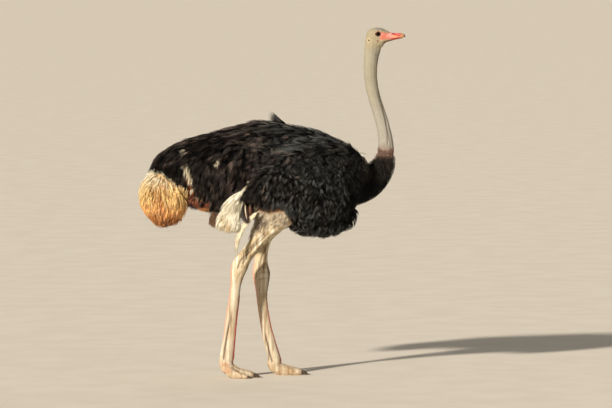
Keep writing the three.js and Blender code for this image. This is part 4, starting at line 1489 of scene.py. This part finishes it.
# %% Lobe over the white plumes
LOBE = np.array([(-0.138, 1.150), (-0.212, 1.052), (-0.112, 1.046)])
LOBE_SPRAYS = 360
for name, side in SIDES.items():
    share = rng.dirichlet((0.8, 0.8, 0.8), LOBE_SPRAYS)
    tips = share @ LOBE
    end = np.stack([tips[:, 0], side * (0.264 + 0.006 * rng.random(LOBE_SPRAYS)), tips[:, 1]], 1)
    above = end + (0.052, -side * 0.03, 0.070) + rng.normal(0, 0.006, end.shape)
    roots, root_normal = body_ground.nearest(above)
    middle = (roots + end) / 2 + np.array((0.0, side * 0.012, 0.008))
    way = unit(end - roots)
    side_way = unit(np.cross(way, root_normal))
    quiet = np.zeros(LOBE_SPRAYS)
    off, lock_pick = lumps(end, 14, (0.013, 0.014, 0.030))
    weave(f"coat_lobe_{name}", rng, [roots, middle, end, side_way, root_normal, root_normal],
          TEMPLATES, tips, "black_feathers", BLACK_FINISH, curl=0.05, flare=0.02, white=quiet,
          rust=quiet, lock=lock_pick * 0.7, middle=1 - np.hypot(off[:, 0], off[:, 2]) * 2.2)

# %% [markdown]
# The shoulder carries a few long feathers, painted a greyish brown as a sheen. They lie along
# the side of the back, well apart, and point to the rear.

# %% Sheen-painted feathers of the shoulder
STREAKS = 90
places = np.stack([rng.uniform(-0.06, 0.22, STREAKS), rng.choice([-0.22, 0.22], STREAKS),
                   rng.uniform(1.34, 1.46, STREAKS)], 1)
roots, root_normal = body_ground.nearest(places)
lie = drift((-1.0, 0.0, 0.02), roots, 9, 6, 0.7)
# Painted sheen: each feather's lock number paints it greyish brown.
shoulder_sheen = rng.uniform(0.80, 1.0, STREAKS)
long = rng.uniform(0.09, 0.16, STREAKS)
weave("coat_shoulder_streaks", rng,
      routes_on(body_ground, roots, root_normal, lie, long, 0.034, 0.05),
      [fan(rng, 3, 0.05, 0.030, 0.012) for k in range(6)], roots[:, [0, 2]], "black_feathers",
      BLACK_FINISH, curl=0.04, flare=0.01, white=0 * shoulder_sheen, rust=0 * shoulder_sheen, lock=shoulder_sheen,
      middle=0 * shoulder_sheen + 0.6)

# %% [markdown]
# ## Neck plumes and down
# The black of the body climbs the neck as short fine plumes and ends in a brownish fringe. Above
# it the neck and head wear only down: tiny tufts that lie along the skin and soften its edge.

# %% Neck base
NECK_EACH = 0.000071
neck_roots, neck_normal, neck_face = body_ground.roots(rng, NECK_EACH)
high = (past_chest(neck_roots) > 0.50) & (neck_roots[:, 2] > NECK_FOOT)
high &= neck_face < len(body_mesh.polygons)
neck_roots, neck_normal = neck_roots[high], neck_normal[high]
SHORT = [fan(rng, 3, 0.22, 0.055, 0.016) for k in range(10)]
lie = drift((-0.42, 0.0, -0.9), neck_roots, 20, 3, 0.18)
weave("coat_neck_base", rng,
      routes_on(body_ground, neck_roots, neck_normal, lie,
                0.042 * rng.uniform(0.8, 1.2, len(neck_roots)), NECK_DEPTH * 1.35, 0.05),
      SHORT, wrap(neck_roots, 0.60), "black_feathers", NECK_FINISH, curl=0.04)

# %% [markdown]
# The fringe springs from the neck's own shell, just above and below the collar. A noise makes its
# edge ragged. Below the collar, where the shell is drawn in, the plumes stand off further.

# %% Fringe of the collar
COLLAR_EACH = 0.000040
neck_ground = Ground(neck_mesh)
roots, root_normal = neck_ground.roots(rng, COLLAR_EACH)[:2]
ragged = np.array([noise.noise(Vector((x * 40, y * 40, 0))) for x, y, z in roots]) * 0.010
climb = roots[:, 2] - COLLAR_Z + ragged
keep = (climb > -0.045) & (climb < 0.030 * rng.random(len(roots)) ** 1.5)
roots, root_normal = roots[keep], root_normal[keep]
lie = drift((-0.10, 0.0, -1.0), roots, 30, 3, 0.10)
weave("coat_collar", rng,
      routes_on(neck_ground, roots, root_normal, lie, 0.040 * rng.uniform(0.7, 1.2, len(roots)),
                0.004 + 0.5 * np.maximum(0, -climb[keep]), 0.75),
      SHORT, wrap(roots, 0.68), "black_feathers", NECK_FINISH, curl=0.03)

# %% [markdown]
# The down keeps clear of the bare face, the eyes and the ear holes. It points down along the neck
# and to the rear on the head.

# %% Down on neck and head
DOWN_EACH = 0.000036
roots, root_normal = neck_ground.roots(rng, DOWN_EACH)[:2]
bare_face = (roots[:, 0] > 0.646) & (roots[:, 2] < 2.072) & (roots[:, 2] > 2.022)
near_eye = np.minimum(lid_share(roots, 1.0)[0], lid_share(roots, -1.0)[0]) < 1.6
near_ear = np.hypot(roots[:, 0] - EAR_PLACE[0], roots[:, 2] - EAR_PLACE[1]) < EAR_RIM
keep = ~bare_face & ~near_eye & ~near_ear & (roots[:, 0] < 0.690) & (roots[:, 2] > COLLAR_Z)
roots, root_normal = roots[keep], root_normal[keep]
on_head = step(roots[:, 2], 1.99, 2.03)[:, None]
down_way, rear_way = np.array([0.05, 0, -1.0]), np.array([-1.0, 0, -0.35])
lie = down_way + (rear_way - down_way) * on_head
lie = lie + wander(roots, 60, 9) * 0.5
HAIRS = [fan(rng, 2, 0.22, 0.050, 0.02, cuts=1) for k in range(8)]
hair_length = np.where(roots[:, 2] > 1.99, 0.0070, 0.0095) * rng.uniform(0.6, 1.4, len(roots))
weave("coat_neck_down", rng,
      routes_on(neck_ground, roots, root_normal, lie, hair_length, 0.0012, 0.10),
      HAIRS, wrap(roots, 0.63), "skin", DOWN_FINISH, curl=0.10, flare=0.10)

# %% [markdown]
# The tops of the thighs wear a longer, whitish down, which ends below along a slanting line. At
# the front of each thigh a band of dark bristles stands out of it.

# %% Down and bristles on the thighs
THIGH_COATS = {  # area for each spray, length, depth, templates, finish
    "down": (0.000046, 0.030, 0.006, SHORT, THIGH_FINISH),
    "bristles": (0.00025, 0.024, 0.012, HAIRS, LASH_FINISH)}
BRISTLE_LINE = [(0.010, 0.955), (0.085, 0.940)]
leg_ground = Ground(leg_mesh)
for name, (each, long, off, shapes, look) in THIGH_COATS.items():
    roots, root_normal = leg_ground.roots(rng, each)[:2]
    edge = roots[:, 2] - 0.35 * roots[:, 0] + rng.normal(0, 0.012, len(roots))
    keep = (edge > 0.905) & (roots[:, 2] < 1.03) & (roots[:, 0] < 0.105)
    if name == "bristles":
        keep &= near_line(roots, BRISTLE_LINE, 0.030) > 0.45
    roots, root_normal = roots[keep], root_normal[keep]
    lie = drift((-0.75, 0.0, -0.85), roots, 30, 4, 0.3)
    rearward = step(root_normal[:, 0], -0.2, -0.8)
    weave(f"coat_thigh_{name}", rng,
          routes_on(leg_ground, roots, root_normal, lie,
                    long * (1 + 0.4 * rearward) * rng.uniform(0.6, 1.3, len(roots)),
                    off * (1 + rearward), 0.2),
          shapes, wrap(roots), "leg_skin", look, curl=0.1, flare=0.06)

# %% [markdown]
# ## Tail
# The tail hangs as a round bunch of heavy wavy locks. From where it leaves the body, each spray
# falls towards the middle of its own lock, which parts every lock from the next by a gap that is
# also painted darker as shade.

# %% Tail plumes
TAIL_EACH = 0.00013
tail_ground = Ground(tail_core)
roots, root_normal = tail_ground.roots(rng, TAIL_EACH)[:2]
turn = lock_turn(roots)
number = np.round(turn)
phase = 2 * (turn - number)
TAIL_ROOT = np.array([-0.570, 0.0, 1.250])
lie = np.tile((0.0, 0.0, -1.0), (len(roots), 1))
lie += unit(roots - TAIL_ROOT) * (0.15 + 1.4 * step(root_normal[:, 2], 0.1, 0.8))[:, None]
lie = unit(lie - root_normal * np.sum(lie * root_normal, 1)[:, None])
ends = step(roots[:, 2], 1.03, 0.93)
length = (0.110 - 0.045 * ends) * rng.uniform(0.8, 1.2, len(roots))
ahead = roots + lie * length[:, None]
lock_wide = 2 * np.pi * np.hypot(ahead[:, 0] - TAIL_MIDDLE.x, ahead[:, 1]) / TAIL_LOCKS
stray = np.clip(from_lock(lock_turn(ahead), number), -1.5, 1.5) * lock_wide
around = unit(np.stack([-roots[:, 1], roots[:, 0] - TAIL_MIDDLE.x, 0 * phase], 1))
depth = TAIL_DEPTH * (0.95 + 0.20 * np.cos(np.pi * phase)) * rng.uniform(0.85, 1.1, len(roots))
LONG = [fan(rng, 4, 0.07, 0.040, 0.016) for k in range(12)]
lock_pick = np.random.default_rng(3).random(TAIL_LOCKS)[number.astype(int) % TAIL_LOCKS]
ragged = ends * (0.15 + 0.55 * lock_pick)
routes = routes_on(tail_ground, roots, root_normal, lie, length, depth, ragged,
                   around * (-0.9 * stray)[:, None])
tail = weave("tail_plumes", rng, routes, LONG, wrap(roots, TAIL_MIDDLE.x), "tail_feathers",
             TAIL_FINISH, curl=0.03, flare=0.010, gap=np.abs(phase) ** 1.5)
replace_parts(tail, "tail")

# %% [markdown]
# The tail's bunch is wider than its root: on both sides its plumes also spring from the rump.

# %% Plumes at the sides of the tail
TAIL_SHOULDER, SIDE_EACH = [(-0.640, 1.228), (-0.575, 1.185), (-0.512, 1.128)], 0.00007
roots, root_normal, face_number = body_ground.roots(rng, SIDE_EACH)
keep = near_line(roots, TAIL_SHOULDER, 0.016) > 0.30
keep &= (face_number < len(body_mesh.polygons)) & (np.abs(roots[:, 1]) > 0.03)
roots, root_normal = roots[keep], root_normal[keep]
lie = drift((-0.25, 0.0, -1.0), roots, 20, 2, 0.2)
weave("tail_side_plumes", rng,
      routes_on(body_ground, roots, root_normal, lie,
                0.080 * rng.uniform(0.7, 1.15, len(roots)), 0.030, 0.35),
      LONG, wrap(roots, TAIL_MIDDLE.x), "tail_feathers", TAIL_FINISH, curl=0.04, flare=0.01,
      gap=rng.random(len(roots)) ** 3)

# %% [markdown]
# The black coverts of the rump hang over the top of the tail like an uneven fringe, which hides
# where the white plumes begin. The ground they are planted on holds the tail's core as well, so
# that their tips come to lie on it.

# %% Coverts over the tail
COVERT_EACH = 0.00011
roots, root_normal, face_number = body_ground.roots(rng, COVERT_EACH)
fringe = 0.034 * np.array([noise.noise(Vector(p) * 26) for p in roots])
keep = (face_number < len(body_mesh.polygons)) & (roots[:, 0] < -0.53)
keep &= (roots[:, 2] > 1.262 + fringe - 0.80 * (roots[:, 0] + 0.640)) & (roots[:, 2] < 1.36)
keep &= np.max(marks(roots), axis=0) < 0.1
roots, root_normal = roots[keep], root_normal[keep]
lie = drift((-0.75, 0.0, -0.75), roots, 20, 2, 0.25)
lie += root_normal * (0, 0.4, 0)
off, lock_pick = lumps(roots, 16, SIDE_LOCK)
off = (off * SIDE_LOCK) * (1, 1, 0.3)
routes = routes_on(body_ground, roots, root_normal, lie,
                   0.080 * rng.uniform(0.6, 1.3, len(roots)), 0.030, 0.25, -0.7 * off)
quiet = np.zeros(len(roots))
weave("coat_tail_coverts", rng, routes, TEMPLATES, roots[:, [1, 2]], "black_feathers",
      BLACK_FINISH, curl=0.05, flare=0.03, white=quiet, rust=quiet, lock=lock_pick,
      middle=1 - np.linalg.norm(off, axis=1) / LOCK_REACH)

# %% [markdown]
# ## White wing plumes
# The big quills of the wing end in white plumes that bulge out below the black and curl under.
# Lines seen from the side place a golden streak on each wing and the brown of the curled ends.
# On the far wing one more line paints gold as shade, and the finish paints its plumes browner.

# %% Wing plumes
PLUME_EACH = 0.00010
PLUMES = [fan(rng, 5, 0.10, 0.036, 0.014) for k in range(12)]
GOLD_STREAK = [(-0.268, 1.000), (-0.245, 0.960), (-0.238, 0.925)]
FAR_PLUME_SHADE_LINE = [(-0.380, 1.010), (-0.345, 0.930)]
BROWN_CURL = [(-0.300, 0.890), (-0.280, 0.874), (-0.255, 0.868)]
for name, side in SIDES.items():
    ground = Ground(plume_cores[name])
    roots, root_normal = ground.roots(rng, PLUME_EACH)[:2]
    lie = drift((-0.50, 0.0, -1.0), roots, 12, 7, 0.20)
    lie[:, 0] += 2.2 * step(roots[:, 2], 0.95, 0.87) * step(roots[:, 0], -0.30, -0.22)
    gold = near_line(roots, GOLD_STREAK, 0.016) * 0.7
    # The far wing gets one more gold line as painted shade.
    if name == "left":
        gold = np.maximum(gold, 0.8 * near_line(roots, FAR_PLUME_SHADE_LINE, 0.030))
    brown = near_line(roots, BROWN_CURL, 0.013)
    off = lumps(roots, 8, (0.024, 0.024, 0.080))[0] * (0.024, 0.024, 0.0)
    low = step(roots[:, 2], 0.97, 0.90)
    routes = routes_on(ground, roots, root_normal, lie,
                       (0.150 - 0.090 * low) * rng.uniform(0.8, 1.2, len(roots)),
                       PLUME_DEPTH * rng.uniform(0.7, 1.0, len(roots)), 0.10 + 0.15 * low,
                       -0.7 * off)
    plumes = weave(f"wing_plumes_{name}_coat", rng, routes, PLUMES,
                   wrap(roots, -0.24, side * 0.21), "white_feathers", WHITE_FINISH,
                   curl=0.04, flare=0.015, brown=brown, gold=gold)
    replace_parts(plumes, f"wing_plumes_{name}")

# %% [markdown]
# ## Single feathers
# A few feathers stand clear of the rest, so each of these is built whole: a tapering shaft along
# a curve, and barbs that leave it on both sides at a sharp angle and droop at their ends. One
# function lays out the routes, and the same weaving as before joins the blades.


# %% A whole feather
SHAFT_STEPS = 14


def curve(path, t):
    """Points and directions along a curve between two ends, which bends towards two points."""
    a, b, c, d = (np.array(v, float) for v in path)
    t = np.asarray(t, float)[:, None]
    at = (1 - t) ** 3 * a + 3 * t * (1 - t) ** 2 * b + 3 * t * t * (1 - t) * c + t ** 3 * d
    way = (1 - t) ** 2 * (b - a) + 2 * t * (1 - t) * (c - b) + t * t * (d - c)
    return at, unit(way)


def feather(path, facing, barbs, reach, rng, droop, spread):
    """Routes for one feather, and each one's hand: 0 on the shaft, -1 or 1 for barbs."""
    t = np.linspace(0.0, 0.98, SHAFT_STEPS)
    at, way = curve(path, t)
    ahead = curve(path, t + 0.09)[0]
    across = unit(np.cross(way, np.tile(facing, (len(t), 1))))
    normal = unit(np.cross(across, way))
    shaft_route = [at, (at + ahead) / 2, ahead, across, normal, normal]
    t = np.tile(np.linspace(0.06, 1.0, barbs), 2)
    hand = np.repeat([-1.0, 1.0], barbs)
    t = np.clip(t + rng.normal(0, 0.004, len(t)), 0, 1)
    at, way = curve(path, t)
    across = unit(np.cross(way, np.tile(facing, (len(t), 1))))
    normal = unit(np.cross(across, way))
    long = reach * (0.40 + 0.9 * np.sin(np.pi * t ** 0.8)) * rng.uniform(0.75, 1.15, len(t))
    lean = spread * (1 - 0.65 * t)
    out = across * (hand * lean)[:, None] + way * (1.1 - lean)[:, None]
    out = unit(out + rng.normal(0, 0.06, out.shape)) * long[:, None]
    sag = np.stack([0 * long, 0 * long, -droop * long], 1)
    barb_route = [at, at + out * 0.5 + normal * 0.001, at + out + sag, across, normal, normal]
    routes = [np.concatenate(pair) for pair in zip(shaft_route, barb_route)]
    return routes, np.concatenate([np.zeros(SHAFT_STEPS), hand])


# %% [markdown]
# Beside each wing's white plumes hang a dark feather, a narrow white strip and a short brown one.
# On the right side only, one long white feather hangs loose below the wing. Each is given by its
# line on the side of the bird, and how far out it hangs.

# %% Feathers at the wings
BARBS = [fan(rng, 3, 0.12, 0.080, 0.03) for k in range(6)]
ROUND = [fan(rng, 1, 0.0, 0.30, 0.26) for k in range(2)]
FEATHERS = {  # the line, then y, reach of the barbs, how many, droop, spread
    "loose": ([(-0.072, 1.008), (-0.150, 0.960), (-0.212, 0.860), (-0.209, 0.768)],
              0.214, 0.056, 300, 0.1, 0.22),
    "dark": ([(-0.162, 1.060), (-0.166, 1.010), (-0.162, 0.972), (-0.140, 0.946)],
             0.224, 0.030, 130, 0.5, 0.75),
    "strip": ([(-0.157, 1.046), (-0.158, 1.014), (-0.154, 0.988), (-0.148, 0.962)],
              0.230, 0.011, 60, 0.2, 0.35),
    "brown": ([(-0.128, 1.045), (-0.132, 1.010), (-0.136, 0.975), (-0.140, 0.945)],
              0.214, 0.022, 50, 0.5, 0.75)}
for name, side in SIDES.items():
    for kind, (line, y, reach, barbs, droop, spread) in FEATHERS.items():
        if kind == "loose" and side > 0:
            continue
        path = [(x, side * y, z) for x, z in line]
        routes, hand = feather(path, (0.0, side, 0.0), barbs, reach, rng, droop, spread)
        is_shaft = hand == 0
        white_part = np.where(is_shaft | (kind in ("loose", "strip")), 1.0, 0.0)
        rust_part = np.where(hand * side > 0, 0.35, 0.0) * (kind == "dark")
        rust_part = np.where(is_shaft, 0.0, 0.6 if kind == "brown" else rust_part)
        for part, some, shapes in (("shaft", is_shaft, ROUND), ("barbs", ~is_shaft, BARBS)):
            t = np.linspace(0, 1, int(some.sum()))
            even = np.full(len(t), 0.6)
            slot = "white_feathers" if kind == "loose" else "black_feathers"
            kept = weave(f"feather_{kind}_{name}_{part}", rng, [r[some] for r in routes], shapes,
                         np.stack([t, np.sin(t * 900)], 1), slot, BLACK_FINISH, curl=0.03,
                         flare=0.01, white=white_part[some], rust=rust_part[some], lock=even,
                         middle=even)
            if kind == "loose" and part == "barbs":
                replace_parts(kept, "loose_plume_right")

# %% [markdown]
# A small tuft stands up from the back, where a few sprays have come loose and point rearward.

# %% Tuft on the back
TUFT_SPRAYS = 26
start = np.array([0.044, 0.0, 1.515])
start = start + rng.normal(0, 1, (TUFT_SPRAYS, 3)) * (0.018, 0.014, 0.004)
brown = rng.random(TUFT_SPRAYS) < 0.25
end = np.where(brown[:, None], (-0.026, 0.004, 1.570), (-0.008, -0.004, 1.588))
end = end + rng.normal(0, 1, (TUFT_SPRAYS, 3)) * (0.008, 0.008, 0.005)
middle = start * 0.5 + end * 0.5 + (0.004, 0, 0.002)
way = unit(end - start)
side_way = unit(np.cross(way, np.tile((0.0, 1.0, 0.0), (TUFT_SPRAYS, 1))))
normal = unit(np.cross(side_way, way))
quiet = np.zeros(TUFT_SPRAYS)
weave("back_tuft", rng, [start, middle, end, side_way, normal, normal],
      [fan(rng, 3, 0.10, 0.07, 0.04) for k in range(6)], start[:, :2], "black_feathers",
      BLACK_FINISH, curl=0.03, white=quiet, rust=brown * 0.5, lock=quiet + 0.3,
      middle=quiet + 0.3)

# %% [markdown]
# ## Scutes
# Broad overlapping plates armour the front of each lower leg and the tops of the toes. Rays shot
# at the leg from in front, or from above a toe, find where each plate lies. A plate is a small
# grid pressed on to the skin, bulging a little in the middle, and given a thickness. It is left
# out where its rays miss the skin, or where they meet it at depths that lie too far apart.

# %% One plate
PLATE_ROWS, PLATE_COLUMNS = 4, 6
PLATE_THICKNESS, DEEPEST_STEP = 0.0016, 0.014
UP, FORWARD, LEFTWARD = Vector((0, 0, 1)), Vector((1, 0, 0)), Vector((0, 1, 0))


def plate(bm, middle, along, across, long, wide, aim, bulge=0.0016):
    """A bulging plate on the leg's skin, placed where rays along aim meet it."""
    rows = []
    for i in range(PLATE_ROWS):
        for j in range(PLATE_COLUMNS):
            u, v = 2 * i / (PLATE_ROWS - 1) - 1, 2 * j / (PLATE_COLUMNS - 1) - 1
            from_here = middle + along * (u * long * (1 - 0.16 * v ** 4) / 2) \
                + across * (v * wide / 2) - aim * 0.10
            hit, face_normal = leg_ground.tree.ray_cast(from_here, aim, 0.20)[:2]
            if hit is None:
                return 0
            rows.append(hit + face_normal * bulge * (0.25 + 0.75 * (1 - u ** 4) * (1 - v ** 4)))
    reach = [row.dot(aim) for row in rows]
    if max(reach) - min(reach) > DEEPEST_STEP:
        return 0
    verts = [bm.verts.new(co) for co in rows]
    corners = ((0, 0), (1, 0), (1, 1), (0, 1))
    faces = [bm.faces.new([verts[PLATE_COLUMNS * (a + i) + b + j] for i, j in corners])
             for a in range(PLATE_ROWS - 1) for b in range(PLATE_COLUMNS - 1)]
    bmesh.ops.recalc_face_normals(bm, faces=faces)
    bmesh.ops.solidify(bm, geom=faces, thickness=PLATE_THICKNESS)
    return 1


def scute_skin(w):
    z = w.place().axes()[2]
    pick = w.noise(70, 2).ramp(0.35, 0.65)
    colour = pick.mix(paint(166, 50, 48), paint(200, 92, 76))
    colour = z.ramp(0.13, 0.09).mix(colour, pick.mix(paint(168, 138, 108), paint(196, 164, 128)))
    return {"Base Color": colour, "Roughness": 0.55 + pick * 0.15,
            "Normal": w.bump(w.noise(260, 3), 0.6)}


SCUTE_FINISH = finish("leg_scutes", scute_skin)

# %% [markdown]
# One column of plates climbs each shin, along a line of heights and places, and narrows towards
# the hock. A row of plates covers each of the two toes.

# %% Plates on legs and toes
SHIN_PLATES = np.arange(0.1232, 0.490, 0.0118)
TOE_Y, TOP_OF_TOES = 0.092, 0.060
FOOT_X = {"right": -0.270, "left": 0.018}
SHIN = {"right": [(0.50, -0.221), (0.366, -0.240), (0.258, -0.252), (0.12, -0.268)],
        "left": [(0.50, -0.062), (0.404, -0.054), (0.296, -0.036), (0.20, -0.014), (0.12, 0.008)]}
for name, side in SIDES.items():
    bm = bmesh.new()
    made = 0
    heights, shin_x = zip(*SHIN[name][::-1])
    for z in SHIN_PLATES:
        middle = Vector((float(np.interp(z, heights, shin_x)), side * 0.099, z))
        high = float(step(z, 0.30, 0.50))
        made += plate(bm, middle, UP, LEFTWARD, 0.0122, 0.026 - 0.014 * high, -FORWARD,
                      0.0016 - 0.0010 * high)
    for k in range(14):
        middle = Vector((FOOT_X[name] + 0.030 + 0.0102 * k, side * TOE_Y, TOP_OF_TOES))
        made += plate(bm, middle, FORWARD, LEFTWARD, 0.0106, 0.036 - 0.001 * k, -UP)
    for k in range(8):
        way = Vector((1, side * 0.34, 0)).normalized()
        middle = Vector((FOOT_X[name] + 0.044, side * 0.129, TOP_OF_TOES)) + way * (0.0100 * k)
        made += plate(bm, middle, way, Vector((-way.y, way.x, 0)), 0.0104, 0.022, -UP)
    piece(f"scutes_{name}", as_mesh(bm, "scutes"), "leg_skin", SCUTE_FINISH)
    print(f"scutes_{name} plates", made)
